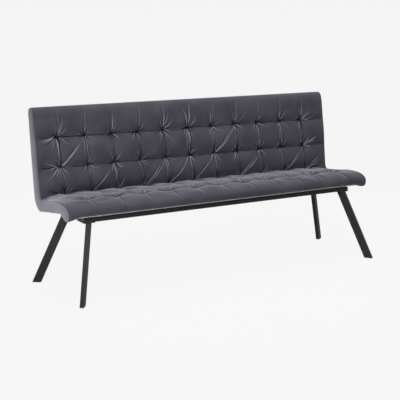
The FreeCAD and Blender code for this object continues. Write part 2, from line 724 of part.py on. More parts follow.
def seat_section(x, pull, inset):
    """Outline of the seat pad at one place: two tufted arcs, the rolled nose and the flat underside."""
    crown = size("pillow_crown")
    front = SEAT_REACH - inset
    drop = size("nose_drop") - inset
    row_out = blend(-size("channel_depth"), -size("seat_tuft_depth"), pull) - inset
    crest_out = blend(crown, -size("seam_depth"), pull) - inset
    seam = blend(0, size("seam_depth") / 2, pull)
    gap = size("touch_gap")
    fold_up = blend(row_fold_up(), 0, pull) - gap - inset
    shoulder_along, shoulder_out, tip_out, lip_along = nose_points(front, drop, seam, inset)
    join = on_back(x, fold_up, JOIN_OUT + gap)
    row = on_seat(x, SEAT_ROW, row_out)
    shoulder = on_seat(x, shoulder_along, shoulder_out)
    tip = on_seat(x, front - seam, tip_out)
    lip_front = on_seat(x, lip_along, -drop)
    lip_step = Vector(x, RAIL_FRONT - gap, FRAME_TOP + gap)
    lip_rear = Vector(x, NOSE_CORE - gap, FRAME_TOP + gap)
    lip_top = on_seat(x, seat_along_at(NOSE_CORE - gap, SEAT_TOP_OF_BOARD), SEAT_TOP_OF_BOARD)
    floor_rear = meet(on_back(x, 0, JOIN_OUT + gap), on_seat(x, 0, SEAT_TOP_OF_BOARD))
    roll_middle = on_seat(x, *arc_bulge((shoulder_along, shoulder_out), (front - seam, tip_out)))
    lip_middle = on_seat(x, *arc_bulge((front - seam, tip_out), (lip_along, -drop)))
    return Part.Wire([
        line_edge(floor_rear, join),
        arc_edge(join, on_seat(x, SEAT_ROW / 2, crest_out), row),
        arc_edge(row, on_seat(x, (SEAT_ROW + shoulder_along) / 2, crest_out - crown / 2), shoulder),
        arc_edge(shoulder, roll_middle, tip),
        arc_edge(tip, lip_middle, lip_front),
        line_edge(lip_front, lip_step),
        line_edge(lip_step, lip_rear),
        line_edge(lip_rear, lip_top),
        line_edge(lip_top, floor_rear),
    ])


NOSE_BULGE = 0.16


def nose_points(front, drop, seam, inset):
    """Where the nose starts to roll, how low its foremost line lies and where its lower edge is."""
    shoulder_along = front - size("nose_roll") - seam / 2
    shoulder_out = -size("nose_shoulder") - inset / 2 - seam
    tip_out = -NOSE_TIP_SHARE * drop
    lip_along = front - size("lip_width") - seam / 2
    return shoulder_along, shoulder_out, tip_out, lip_along


def arc_bulge(start, end):
    """Middle of an arc that swells out of the nose by a share of its own chord."""
    chord_along = end[0] - start[0]
    chord_out = end[1] - start[1]
    return (
        (start[0] + end[0]) / 2 - chord_out * NOSE_BULGE,
        (start[1] + end[1]) / 2 + chord_along * NOSE_BULGE,
    )


PILLOW_STEPS = (0, 0.2, 0.5, 0.8, 1)
END_PILLOW_STEPS = (0, 0.3, 0.65)
EDGE_TURNS = [math.radians(angle) for angle in (0, 35, 70)]


def pillow_stations():
    """Runs of sections along the bench, one run for each pillow: place, pull of the tufts, inset."""
    half = PAD_LENGTH / 2
    edge = size("edge_round")
    runs = []
    for left, right in zip(TUFT_X, TUFT_X[1:]):
        runs.append([
            (left + (right - left) * step, (1 - math.sin(math.pi * step)) ** 2, 0) for step in PILLOW_STEPS
        ])
    open_run = half - edge - TUFT_X[-1]
    rounding = [
        (half - edge * (1 - math.sin(turn)), 0, edge * (1 - math.cos(turn))) for turn in EDGE_TURNS
    ]
    last = [(TUFT_X[-1] + open_run * step, (1 - step) ** 4, 0) for step in END_PILLOW_STEPS] + rounding
    first = [(-x, pull, inset) for x, pull, inset in reversed(last)]
    return [first, *runs, last]


def add_pad(name, section, ties):
    """Closed pad lofted pillow by pillow, with blind holes from behind for the tuft twines."""
    faces = []
    runs = pillow_stations()
    for run in runs:
        wires = [section(*station) for station in run]
        faces += Part.makeLoft(wires, False, False).Faces
    for station in (runs[0][0], runs[-1][-1]):
        faces.append(Part.Face(section(*station)))
    skin = Part.makeCompound(faces)
    skin.sewShape()
    solid = Part.Solid(skin.Shells[0])
    if solid.Volume < 0:
        solid.reverse()
    pad = doc.addObject("Part::Feature", name + "_blank")
    pad.Shape = solid
    return add_cut(name, pad, ties)


TIE_COVER = 3 * size("touch_gap")
TIE_BACK_REACH = size("back_pad_thick") - size("back_tuft_depth") - TIE_COVER
TIE_SEAT_REACH = size("seat_pad_thick") - size("seat_tuft_depth") - TIE_COVER


def tuft_places():
    """Start and direction of every twine, beside the seam of its column, and its reach into the pad."""
    back_turn = BACK_FRAME.Rotation * Rotation(Z_AXIS, BACKWARD)
    seat_turn = SEAT_FRAME.Rotation
    places = [
        ("back", Placement(on_back(x, row, BACK_REAR_OF_BOARD), back_turn), TIE_BACK_REACH)
        for x, row in BACK_TUFTS
    ]
    places += [
        ("seat", Placement(on_seat(x, SEAT_ROW, SEAT_UNDER_BOARD), seat_turn), TIE_SEAT_REACH)
        for x in TIE_X
    ]
    return places


def add_tufting():
    """Twines through the boards, washers behind them and the blind holes they need in the pads."""
    ties = []
    anchors = []
    holes = {"back": [], "seat": []}
    for index, (part, place, reach) in enumerate(tuft_places()):
        above = place * Placement(Z_AXIS * size("anchor_thick"), Rotation())
        board_top = place * Placement(Z_AXIS * size("board_thick"), Rotation())
        tie_length = f"sizes.board_thick - sizes.anchor_thick + {reach}"
        ties.append(add_pin(f"tie_{index}", "sizes.tie_diameter", tie_length, above))
        anchors.append(add_pin(f"anchor_{index}", "sizes.anchor_diameter", "sizes.anchor_thick", place))
        hole_width = "sizes.tie_diameter + sizes.hole_clearance"
        holes[part].append(add_pin(f"pad_hole_{index}", hole_width, f"{reach} + sizes.touch_gap", board_top))
    return add_group("tuft_ties", ties), add_group("tuft_anchors", anchors), holes


# Cover cloth

def add_rear_cover():
    """Cloth over the rear of the back and around the lower corner."""
    skin = size("skin_thick")
    outer_top, outer_middle, outer_low = rear_corner(0)
    inner_top, inner_middle, inner_low = rear_corner(skin)
    under_y = RAIL_MIDDLE + size("rail_width") / 2 + size("touch_gap")
    outer_along = seat_along_at(under_y, SEAT_UNDERSIDE)
    inner_along = seat_along_at(under_y, SEAT_UNDERSIDE + skin)
    outline = [
        on_back(0, TOP_ROLL, BACK_REAR),
        (outer_top, outer_middle),
        outer_low,
        on_seat(0, outer_along, SEAT_UNDERSIDE),
        on_seat(0, inner_along, SEAT_UNDERSIDE + skin),
        (inner_low, inner_middle),
        inner_top,
        on_back(0, TOP_ROLL, BACK_REAR + skin),
    ]
    return add_prism("rear_cover", outline, PAD_LENGTH)


def add_underside_cover():
    """Black lining under the seat board, between the battens."""
    front = seat_along_at(RAIL_FRONT + size("rail_width") + size("touch_gap"), SEAT_UNDER_BOARD)
    rear = seat_along_at(RAIL_MIDDLE - size("rail_width") / 2 - size("touch_gap"), SEAT_UNDER_BOARD)
    start = Vector(-PAD_LENGTH / 2 + size("end_batten_width"), -front, SEAT_UNDER_BOARD - size("skin_thick"))
    return add_box(
        "underside_cover",
        "sizes.bench_length - 2 * sizes.panel_thick - 2 * sizes.end_batten_width",
        f"{front - rear}",
        "sizes.skin_thick",
        SEAT_FRAME * Placement(start, Rotation()),
    )


HEM_GAP = 1.5 * size("touch_gap")


def add_hem():
    """Folded hem under the nose."""
    lip_along = nose_points(SEAT_REACH, size("nose_drop"), 0, 0)[3]
    low_front = on_seat(0, lip_along, -size("nose_drop"))
    lip_step = Vector(0, RAIL_FRONT - size("touch_gap"), FRAME_TOP + size("touch_gap"))
    along = (lip_step - low_front).normalize()
    across = Vector(0, along.z, -along.y)
    start = low_front + across * HEM_GAP
    rear = start + along * size("hem_width")
    down = across * size("hem_height")
    outline = [start, rear, rear + down, start + down]
    return add_prism("nose_hem", outline, PAD_LENGTH - 2 * size("edge_round"))


PANEL_INSET = 0.66 * size("edge_round")


def add_end_panels():
    """Padded cloth panel over each end of the seat and back, shaped like a leaning letter L."""
    inset = PANEL_INSET
    front = SEAT_REACH - inset
    drop = size("nose_drop") - inset
    radius = size("top_radius")
    diagonal = radius * (1 - math.sqrt(0.5))
    top = size("back_length") - inset
    corner_top, corner_middle, corner_low = rear_corner(inset / 4)
    crease_fold = meet(on_back(0, 0, -inset), on_seat(0, 0, -inset))
    shoulder_along, shoulder_out, tip_out, lip_along = nose_points(front, drop, 0, inset)
    roll_middle = on_seat(0, *arc_bulge((shoulder_along, shoulder_out), (front, tip_out)))
    lip_middle = on_seat(0, *arc_bulge((front, tip_out), (lip_along, -drop)))
    outline = [
        crease_fold,
        (on_back(0, top - radius, -inset), on_back(0, top - diagonal, -inset - diagonal)),
        on_back(0, top, -inset - radius),
        (on_back(0, top, BACK_REAR + radius), on_back(0, top - diagonal, BACK_REAR + diagonal)),
        on_back(0, top - radius, BACK_REAR + inset / 4),
        (corner_top, corner_middle),
        corner_low,
        on_seat(0, shoulder_along - size("nose_roll") / 2, SEAT_UNDERSIDE + inset / 4),
        (on_seat(0, lip_along, -drop), lip_middle),
        (on_seat(0, front, tip_out), roll_middle),
        (on_seat(0, shoulder_along, shoulder_out), on_seat(0, shoulder_along - size("nose_roll"), -inset)),
        on_seat(0, shoulder_along - 2 * size("nose_roll"), -inset),
    ]
    panels = []
    for side, sign in SIDES:
        panel = add_prism(f"{side}_end_panel", outline, size("panel_thick"))
        start = sign * size("bench_length") / 2 - (size("panel_thick") if sign > 0 else 0)
        panel.Placement = Placement(Vector(start, 0, 0), Rotation())
        panels.append(panel)
    return panels


# Assembly

parts = add_frame()
parts.append(add_rail_plugs())
leg_bolts = []
for end, end_sign in ENDS:
    for side, side_sign in SIDES:
        pieces, bolts = add_leg(end, end_sign, side, side_sign)
        parts += pieces
        leg_bolts += bolts
parts.append(add_group("leg_bolts", leg_bolts))
frame_screws = [
    add_headed_pin(f"frame_screw_{index}", "sizes.screw_shank", "sizes.screw_head", SCREW_LENGTH, place)
    for index, place in enumerate(FRAME_SCREW_PLACES)
]
parts.append(add_group("frame_screws", frame_screws))
parts += add_boards()
parts += add_battens()
parts.append(add_corner_rail())
for index, x in enumerate(BRACKET_X, start=1):
    parts.append(bracket_body(f"corner_bracket_{index}", x, 0))
tuft_ties, tuft_anchors, pad_holes = add_tufting()
parts += [tuft_ties, tuft_anchors]
parts.append(add_pad("back_pad", back_section, pad_holes["back"]))
parts.append(add_pad("seat_pad", seat_section, pad_holes["seat"]))
parts.append(add_rear_cover())
parts.append(add_underside_cover())
parts.append(add_hem())
parts += add_end_panels()
doc.recompute()

faulty = [item.Name for item in doc.Objects if "Invalid" in item.State or "Error" in item.State]
for part in parts:
    if part.Shape.isNull() or not part.Shape.isValid():
        faulty.append(part.Name)
if faulty:
    raise RuntimeError("these pieces failed: " + ", ".join(faulty))
os.makedirs("parts", exist_ok=True)
for part in parts:
    part.Label = part.Name
    part.Shape.exportStep(f"parts/{part.Label}.step")
print(len(parts), "pieces written")
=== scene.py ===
# %% [markdown]
# # A tufted velvet bench
# The bench is a soft L on a dark steel frame: a low back and a seat covered in one run of velvet, pulled
# in at eleven columns of tufts. The frame, the boards and the fixings come from the construction model.
# This lesson dresses that model: it makes the velvet, the lining and the finishes.
# %% Load the construction model
import math
import bpy
import numpy as np
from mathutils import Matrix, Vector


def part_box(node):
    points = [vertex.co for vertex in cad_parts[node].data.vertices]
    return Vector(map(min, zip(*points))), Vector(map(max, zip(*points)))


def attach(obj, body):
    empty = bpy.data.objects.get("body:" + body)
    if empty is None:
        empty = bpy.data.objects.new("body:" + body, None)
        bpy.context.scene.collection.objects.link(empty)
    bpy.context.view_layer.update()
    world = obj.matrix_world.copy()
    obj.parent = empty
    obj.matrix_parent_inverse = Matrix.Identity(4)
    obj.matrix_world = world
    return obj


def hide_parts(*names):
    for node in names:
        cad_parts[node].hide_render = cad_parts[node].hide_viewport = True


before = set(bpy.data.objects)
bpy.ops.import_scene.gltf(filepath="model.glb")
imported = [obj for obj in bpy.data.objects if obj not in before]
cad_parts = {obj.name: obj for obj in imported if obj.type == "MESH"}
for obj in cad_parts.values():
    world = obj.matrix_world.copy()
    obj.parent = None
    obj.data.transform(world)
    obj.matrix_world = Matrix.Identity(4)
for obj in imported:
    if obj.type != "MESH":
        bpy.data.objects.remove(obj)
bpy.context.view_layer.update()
MM = 0.001

# %% [markdown]
# ## The section of the upholstery
# Seen from the end, the velvet starts under the front nose, rolls over it, runs back along the seat, turns
# up at the crease and ends over the top of the back. Such a form could be sculpted by hand, but sections
# keep it even along the bench: one through the middle of a pillow, one along a column of tufts, and a plain
# one at the ends, where the cover is flat. A section is a list of zones, each from one row of tufts to the
# next, with points (y, z) in millimetres. The inner side closes the cover behind the foam.
# %% Sections of the cover
TUCK = [(-150, 399.5), (-163, 401.5), (-174, 404.5)]
PILLOW_ZONES = [
    TUCK + [(-184, 409), (-190.5, 416), (-194, 425), (-194.5, 435), (-190.5, 445), (-180, 454),
            (-160, 462), (-132, 467.8), (-99, 471.3), (-81, 471.7), (-69, 471.2), (-60, 469.5)],
    [(-60, 469.5), (-50, 470.5), (-35, 471.5), (-10, 471.5), (25, 470), (65, 467.5), (105, 465),
     (140, 462), (165, 459.5), (182, 457), (192, 454), (197, 450.5)],
    [(197, 450.5), (191.5, 459), (185, 470), (180.3, 482), (177.3, 495), (176.8, 510), (178, 528),
     (182, 548), (188, 566), (194, 578), (202, 588.5)],
    [(202, 588.5), (196.5, 598), (192.5, 611), (191, 630), (192, 652), (195.5, 676), (200.5, 698),
     (206.5, 716), (212.5, 728), (220.5, 738)],
    [(220.5, 738), (215.5, 748), (212.5, 762), (211.5, 782), (212.5, 806), (215, 828), (218.5, 846),
     (223, 861), (230, 874), (241, 884), (255, 890), (270, 889.5), (282, 883), (289.5, 872), (291.5, 860)],
]
COLUMN_ZONES = [
    TUCK + [(-182.5, 409.5), (-188, 416.5), (-191, 425.5), (-191, 435), (-187, 444), (-176.5, 452),
            (-157, 459), (-130, 464.3), (-99, 466.8), (-83, 464.5), (-70, 459.5), (-60, 452)],
    [(-60, 452), (-51, 461), (-38, 466.5), (-15, 468), (25, 466), (65, 462), (105, 457.5), (140, 452.5),
     (165, 447.5), (184, 442), (197, 437), (206, 432.5)],
    [(206, 432.5), (203, 454), (197.3, 475), (191.5, 496), (189.5, 515), (191.5, 535), (198, 556),
     (207, 572), (218, 583), (227, 587.3)],
    [(227, 587.3), (219, 597), (212, 611), (207.5, 628), (206, 650), (207.5, 672), (213, 694), (222, 712),
     (233, 726), (246, 736.2)],
    [(246, 736.2), (236, 747), (227.5, 760), (221, 778), (218, 802), (217.5, 827), (219.8, 846),
     (223.6, 861), (230.2, 874), (241, 884), (255, 890), (270, 889.5), (282, 883), (289.5, 872),
     (291.5, 860)],
]
END_ZONES = [
    [(-150, 391), (-161, 389.5), (-171, 390.5), (-180, 394), (-188, 400.5), (-193, 409), (-195.5, 419),
     (-195, 430), (-190.5, 441), (-178, 452), (-152, 462.5), (-124, 467), (-98, 468.5), (-81, 468.5),
     (-69, 468.2), (-60, 467.8)],
    [(-60, 467.8), (-45, 467.3), (-20, 465), (8, 460.5), (36, 455.5), (64, 450.5), (92, 446.5),
     (120, 443.8), (140, 443.2), (150, 444.5), (158, 447.5), (163, 451.5)],
    [(163, 451.5), (167.5, 457), (171, 464.5), (173, 474), (175, 488), (177.3, 507), (180, 528),
     (182.7, 548), (184.8, 566), (186, 578), (187, 588.5)],
    [(187, 588.5), (188, 598), (189, 611), (190.5, 630), (192.8, 652), (196, 676), (199.8, 698),
     (203, 716), (205.5, 728), (207.5, 738)],
    [(207.5, 738), (209.2, 748), (211.3, 762), (214, 782), (217.5, 806), (221.5, 828), (225, 846),
     (229, 861), (234.5, 874), (243.5, 884), (256, 889.5), (270, 889), (282, 883), (289.5, 872),
     (291.5, 860)],
]
INNER_SIDE = [(291.5, 860), (288, 857), (280, 857), (275.5, 838), (265, 754), (254, 669), (244, 584),
              (233.5, 499), (228.5, 457), (208, 422), (196, 412), (167, 405.5), (94, 416), (20, 426.5),
              (-54, 437), (-126, 446.5), (-128, 412), (-132, 400.5), (-150, 399.5)]
print("points in the sections", [sum(map(len, zones)) for zones in (PILLOW_ZONES, COLUMN_ZONES, END_ZONES)])

# %% [markdown]
# ## From points to smooth lines
# A few dozen points describe a section, and a smooth line is drawn through them. Even squares would waste
# faces on the calm pillows, so the stops along a line stand close together near a tuft, where the folds
# are, and wider apart elsewhere.
# %% Smooth lines
def smooth_path(points, shares):
    """Points on a smooth line through the given points, at shares of its length from 0 to 1."""
    p = np.array(points, float)
    at = np.r_[0, np.cumsum(np.linalg.norm(np.diff(p, axis=0), axis=1))]
    slope = np.gradient(p, at, axis=0)
    s = np.asarray(shares) * at[-1]
    k = np.clip(np.searchsorted(at, s, side="right") - 1, 0, len(at) - 2)
    step = (at[k + 1] - at[k])[:, None]
    f = ((s - at[k]) / (at[k + 1] - at[k]))[:, None]
    ends = (2 * f**3 - 3 * f**2 + 1) * p[k] + (3 * f**2 - 2 * f**3) * p[k + 1]
    return ends + step * ((f**3 - 2 * f**2 + f) * slope[k] + (f**3 - f**2) * slope[k + 1])


def path_length(points):
    p = np.array(points, float)
    return float(np.linalg.norm(np.diff(p, axis=0), axis=1).sum())


zone_length = [path_length(zone) for zone in PILLOW_ZONES]
print("zones", [round(length) for length in zone_length], "mm")

# %% Stops along the lines
FINE = 1.8
COARSE = 3.6
NEAR = 44.0
RULER_MARKS = 6001
# for each zone, whether a row of tufts lies at its first and at its last point
TUFTED_ENDS = [(0, 1), (1, 1), (1, 1), (1, 1), (1, 0)]


def paced(start, end, places):
    """Stops from start to end, close together near the given places and wider apart elsewhere."""
    ruler = np.linspace(start, end, RULER_MARKS)
    away = np.min([np.abs(ruler - place) for place in places], axis=0)
    per_mm = 1 / COARSE + (1 / FINE - 1 / COARSE) * np.exp(-((away / NEAR) ** 4))
    tally = np.r_[0, np.cumsum((per_mm[1:] + per_mm[:-1]) / 2 * np.diff(ruler))]
    return np.interp(np.linspace(0, tally[-1], math.ceil(tally[-1]) + 1), tally, ruler)


zone_shares = []
for length, (first, last) in zip(zone_length, TUFTED_ENDS):
    places = [0.0] * first + [length] * last
    zone_shares.append(paced(0, length, places) / length)
print("stops in each zone", [len(shares) for shares in zone_shares])

# %% Whole sections
INNER_STEPS = 40


def whole_section(zones):
    """The zones joined into one line, each zone with its own stops."""
    parts = [smooth_path(zone, shares)[:-1] for zone, shares in zip(zones, zone_shares)]
    return np.vstack(parts + [np.array(zones[-1][-1:], float)])


pillow_line = whole_section(PILLOW_ZONES)
column_line = whole_section(COLUMN_ZONES)
end_line = whole_section(END_ZONES)
inner_line = smooth_path(INNER_SIDE, np.linspace(0, 1, INNER_STEPS + 1))[1:]
row_at = np.r_[0, np.cumsum(zone_length)]
zone_stops = [start + shares[:-1] * length
              for start, shares, length in zip(row_at, zone_shares, zone_length)]
row_mm = np.concatenate(zone_stops + [row_at[-1:]])
front_rows = len(row_mm)
print("rows across the front", front_rows, "velvet along the section", round(row_at[-1]), "mm")

# %% [markdown]
# ## Pillows between the tufts
# A tuft pulls the velvet in at one point. Between two tufts the foam pushes it out again, so each pillow is
# full in its middle and drops to a narrow crease at its edges. Separate cushions would show gaps, so the
# cover is one sheet: across the bench it goes from the column section to the pillow section and back,
# quickly beside the crease and slowly over the pillow. The columns lean a little from row to row.
# %% Columns across the bench
COLUMNS = 11
PITCH = 151.5
HALF = 897.0
EDGE = 5.0
# sideways shift of the columns where the zones begin and end, from the nose to the top
COLUMN_LEAN = [14, 10, 0, -13, -20, -22]
# the fine stops lie this far left of the columns, near the middle of their lean
FINE_SHIFT = 6
column_x = (np.arange(COLUMNS) - (COLUMNS - 1) / 2) * PITCH
column_shift = np.interp(row_mm, row_at, COLUMN_LEAN)
flat_half = HALF - EDGE
run = flat_half + EDGE * math.pi / 2
along = paced(-run, run, column_x - FINE_SHIFT)
STEPS_X = len(along) - 1
turn = np.clip((np.abs(along) - flat_half) / EDGE, 0, math.pi / 2)
x_at = np.sign(along) * (np.minimum(np.abs(along), flat_half) + EDGE * np.sin(turn))
inset = EDGE * (1 - np.cos(turn))
from_column = np.min([np.abs(x_at[None, :] - x - column_shift[:, None]) for x in column_x], axis=0)
print("stops along the bench", STEPS_X + 1)

# %% Lay the cover over the sections
# the four rows of tufts by their number in row_at, from the seat up
TUFT_ROWS = (1, 2, 3, 4)
PINCH = 27
SEAM_WIDTH = 8
NOSE_FADE = (20, 75)
CREASE_RISE = 90
END_TAPER = [70, 110, 110, 30]


def smoothstep(low, high, value):
    f = np.clip((value - low) / (high - low), 0, 1)
    return f * f * (3 - 2 * f)


half_cell = np.minimum(from_column / (PITCH / 2), 1)
from_row = np.min([np.abs(row_mm - row_at[k]) for k in TUFT_ROWS], axis=0)
near_row = np.exp(-((from_row / PINCH) ** 2))[:, None]
rounded = np.sin(math.pi / 2 * half_cell) ** (0.5 + 0.6 * near_row)
seam = 1 - np.exp(-((from_column / SEAM_WIDTH) ** 1.3))
on_nose = smoothstep(*NOSE_FADE, row_at[1] - row_mm)[:, None]
fullness = rounded * (1 - on_nose) + seam * on_nose
taper = np.interp(row_mm, [0, row_at[1], row_at[2], row_at[2] + CREASE_RISE], END_TAPER)
plain = smoothstep(0, 1, (np.abs(x_at)[None, :] - (HALF - taper[:, None])) / taper[:, None])
section = column_line[:, None, :] + fullness[:, :, None] * (pillow_line - column_line)[:, None, :]
section = section + plain[:, :, None] * (end_line[:, None, :] - section)
print("cover grid", section.shape[:2])

# %% [markdown]
# ## Folds in the velvet
# Velvet is pulled flat over a curved pillow, so the spare cloth gathers into small pleats that spread from
# each tuft, and into a few long folds from one tuft to the next. A cloth simulation would put them where it
# likes; here each fold is a narrow ridge with a shallow furrow beside it, laid where the bench has one.
# Rows count from the top: 1 and 2 on the back, 3 in the crease, 4 on the seat.
# %% One fold
SEED = 11
FOLD_MARGIN = 14
SOFT_SIDE, STEEP_SIDE = 1.7, 0.9
FURROW_DEPTH, FURROW_PLACE = 0.6, 1.9
rng = np.random.default_rng(SEED)
lift = np.zeros((front_rows, STEPS_X + 1))


def raise_fold(start, end, height, width, bow, fade_in, fade_out):
    """One fold from start to end, both (x, distance along the section), bowed sideways in its middle.
    It rises over the first fade_in millimetres and dies away after the share fade_out of its length."""
    a = np.array(start, float)
    b = np.array(end, float)
    length = float(np.linalg.norm(b - a))
    heading = (b - a) / length
    reach = FOLD_MARGIN + abs(bow)
    rows = np.where((row_mm > min(a[1], b[1]) - reach) & (row_mm < max(a[1], b[1]) + reach))[0]
    cols = np.where((x_at > min(a[0], b[0]) - reach) & (x_at < max(a[0], b[0]) + reach))[0]
    dx = x_at[cols][None, :] - a[0]
    dw = row_mm[rows][:, None] - a[1]
    ahead = dx * heading[0] + dw * heading[1]
    aside = -dx * heading[1] + dw * heading[0]
    share = np.clip(ahead / length, 0, 1)
    aside = aside - bow * 4 * share * (1 - share)
    thick = width * (0.8 + 0.8 * share)
    slope = np.where(aside < 0, SOFT_SIDE * thick, STEEP_SIDE * thick)
    furrow = np.exp(-(((aside - FURROW_PLACE * thick) / thick) ** 2))
    ridge = np.exp(-((aside / slope) ** 2)) - FURROW_DEPTH * furrow
    window = smoothstep(0, fade_in, ahead) * smoothstep(length, length * fade_out, ahead)
    lift[np.ix_(rows, cols)] += height * ridge * window


ROW_MM = {1: row_at[4], 2: row_at[3], 3: row_at[2], 4: row_at[1]}


def tuft(row, column):
    """The place of one tuft as (x, distance along the section)."""
    middle = ROW_MM[row]
    return np.array([column_x[column - 1] + np.interp(middle, row_at, COLUMN_LEAN), middle])


print("first tuft of each row", [[round(float(v)) for v in tuft(row, 1)] for row in ROW_MM])

# %% [markdown]
# ## Fans of short pleats
# The pleats round a tuft stand like the ribs of a fan. They could be drawn one by one, but there are
# hundreds, so each fan gets a middle angle and a spread, and a fixed seed varies its ribs. The outermost
# tufts also pull long pleats towards the ends of the bench.
# %% Fans round the tufts
FAN_START = 5
FAN_RISE = 14
FAN_FADE = 0.15
TOP_MIDDLE, TOP_SPREAD, TOP_HEIGHT = 82, 42, 3.9
# for each column, how many pleats rise from its top tuft, and their length
TOP_PLEATS = {1: (10, 135), 2: (7, 95), 3: (8, 90), 4: (7, 100), 5: (10, 120), 6: (11, 125), 7: (8, 120),
              8: (8, 125), 9: (7, 100), 10: (7, 90), 11: (8, 110)}
# other fans: middle angle in degrees from +X, spread, number of pleats, length and height
TOP_FANS = ((-72, 60, 8, 85, 3.8), (175, 30, 2, 65, 3.2), (-8, 12, 1, 60, 3.2))
LOWER_FANS = {2: ((84, 50, 8, 80, 3.8), (-70, 62, 9, 75, 3.8), (176, 24, 1, 65, 2.8)),
              3: ((70, 58, 7, 80, 3.8), (-90, 62, 5, 90, 3.2)),
              4: ((100, 66, 7, 85, 5.2), (-85, 60, 4, 45, 3.0))}
# row and column of an outermost tuft, and its fan
END_FANS = ((1, 1, (215, 32, 7, 115, 5.0)), (2, 1, (190, 36, 7, 115, 4.8)),
            (1, COLUMNS, (25, 32, 7, 115, 5.0)), (2, COLUMNS, (15, 36, 7, 115, 4.8)))


def fan(row, column, middle, spread, count, length, height):
    """Short pleats that spread from one tuft about a middle angle."""
    for i in range(count):
        angle = math.radians(middle + spread * ((i + 0.5) / count - 0.5) * 2 + rng.normal(0, 7))
        reach = length * rng.uniform(0.5, 1.35)
        way = np.array([math.cos(angle), math.sin(angle)])
        start = tuft(row, column) + FAN_START * way
        end = tuft(row, column) + reach * way
        raise_fold(start, end, height=height * rng.uniform(0.35, 1.2), width=rng.uniform(1.5, 2.1),
                   bow=rng.normal(0, 3), fade_in=FAN_RISE, fade_out=FAN_FADE)


for column, (count, length) in TOP_PLEATS.items():
    fan(1, column, TOP_MIDDLE, TOP_SPREAD, count, length, TOP_HEIGHT)
    for pleats in TOP_FANS:
        fan(1, column, *pleats)
for column in range(1, COLUMNS + 1):
    for row, fans in LOWER_FANS.items():
        for pleats in fans:
            fan(row, column, *pleats)
for row, column, pleats in END_FANS:
    fan(row, column, *pleats)
print("highest pleat", round(float(lift.max()), 2), "mm")

# %% [markdown]
# ## Long folds
# Where a pillow has cloth to spare, a fold runs all the way from one tuft to another, slanting down to the
# left or straight down the column, or from a tuft up to the top edge. The eye notices these folds first, so
# they are listed by row and column and not left to chance.
# %% Slanting and upright folds
SLANT_GAP = 20.0
SLANT_FOOT = np.array([5, 4])
UPRIGHT_GAP = 11.0
UPRIGHT_SHIFT = 6
TOP_RUN = 150
# row and column of the upper tuft, column of the lower tuft, number of folds
SLANT_FOLDS = [(1, 2, 1, 2), (2, 3, 2, 1), (1, 8, 7, 2), (2, 5, 4, 2), (2, 6, 5, 1), (2, 7, 6, 1),
               (2, 9, 8, 3), (2, 11, 10, 2)]
# row and column of the upper tuft, number of folds
UPRIGHT_FOLDS = [(1, 1, 2), (1, 2, 2), (1, 6, 3), (1, 7, 2), (1, 8, 1), (1, 9, 1), (1, 10, 2), (2, 1, 1),
                 (2, 3, 2), (2, 4, 1), (2, 5, 2), (2, 6, 1), (2, 7, 1), (2, 9, 1), (2, 10, 1)]
for row, column, below, count in SLANT_FOLDS:
    for i in range(count):
        side = np.array([SLANT_GAP * (i - (count - 1) / 2), 0])
        low_end = tuft(row + 1, below) + 0.3 * side + SLANT_FOOT
        high_end = tuft(row, column) + side
        raise_fold(low_end, high_end, height=rng.uniform(3.8, 5.0), width=rng.uniform(2.1, 2.4),
                   bow=rng.normal(0, 2), fade_in=18, fade_out=0.3)
for row, column, count in UPRIGHT_FOLDS:
    for i in range(count):
        side = np.array([UPRIGHT_GAP * (i - (count - 1) / 2) + UPRIGHT_SHIFT, 0])
        high_end = tuft(row, column) + 0.5 * side
        low_end = tuft(row + 1, column) + side
        raise_fold(high_end, low_end, height=rng.uniform(2.0, 3.4), width=rng.uniform(1.9, 2.3),
                   bow=rng.normal(-6, 3), fade_in=20, fade_out=0.4)
for column in range(1, COLUMNS + 1):
    top_end = tuft(1, column) + np.array([rng.normal(3, 3), TOP_RUN])
    raise_fold(tuft(1, column), top_end, height=1.8, width=2.0, bow=rng.normal(0, 3),
               fade_in=20, fade_out=0.8)
print("folds now from", round(float(lift.min()), 2), "to", round(float(lift.max()), 2), "mm")

# %% [markdown]
# ## Folds of the seat and furrows
# On the seat the cloth is pressed flat, so its folds are wider and some sink instead of rising. On the back
# a thin dark furrow joins the tufts of each row, and at both ends furrows run out from the crease. At the
# right end a few long folds rise from the tuft in the crease and from the one above it. A furrow could be
# cut by hand, but here it is a fold with a height below zero, so that one helper makes them all.
# %% Seat folds and furrows
# row, angles in degrees of its folds, and their greatest length
SEAT_FOLDS = ((3, (-152, -128, -58, -34), 125), (4, (152, 122, 60, 34), 100))
SEAT_START = 8
FURROW_RUN_OUT = np.array([105, 0])
# rise and reach of the furrows at each end of the crease
CREASE_FURROWS = ((26, 105), (8, 95), (-38, 110), (-75, 90))
# row, height, bow, fade and the rise and reach of each fold at the right end
RIGHT_FOLDS = ((3, 4.4, 5, 0.5, ((34, 100), (62, 112), (84, 104))),
               (2, 3.8, 4, 0.6, ((30, 95), (58, 112))))
RIGHT_FOOT = np.array([6, 4])
for column in range(1, COLUMNS + 1):
    for row, angles, longest in SEAT_FOLDS:
        for degrees in angles:
            angle = math.radians(degrees + rng.normal(0, 8))
            way = np.array([math.cos(angle), math.sin(angle)])
            start = tuft(row, column) + SEAT_START * way
            height = rng.uniform(2.2, 4.0) * rng.choice([-1, 1])
            raise_fold(start, start + rng.uniform(0.5, 1.0) * longest * way, height=height,
                       width=rng.uniform(2.4, 3.4), bow=rng.normal(0, 6), fade_in=16, fade_out=0.35)
# the furrows are dents in the cloth; the velvet also paints shade into them where the folds sink
for row in (1, 2):
    stops = [tuft(row, column) for column in range(1, COLUMNS + 1)]
    stops = [stops[0] - FURROW_RUN_OUT] + stops + [stops[-1] + FURROW_RUN_OUT]
    for a, b in zip(stops[:-1], stops[1:]):
        raise_fold(a, b, height=-rng.uniform(1.2, 2.6), width=2.0, bow=rng.normal(0, 2.5),
                   fade_in=12, fade_out=0.9)
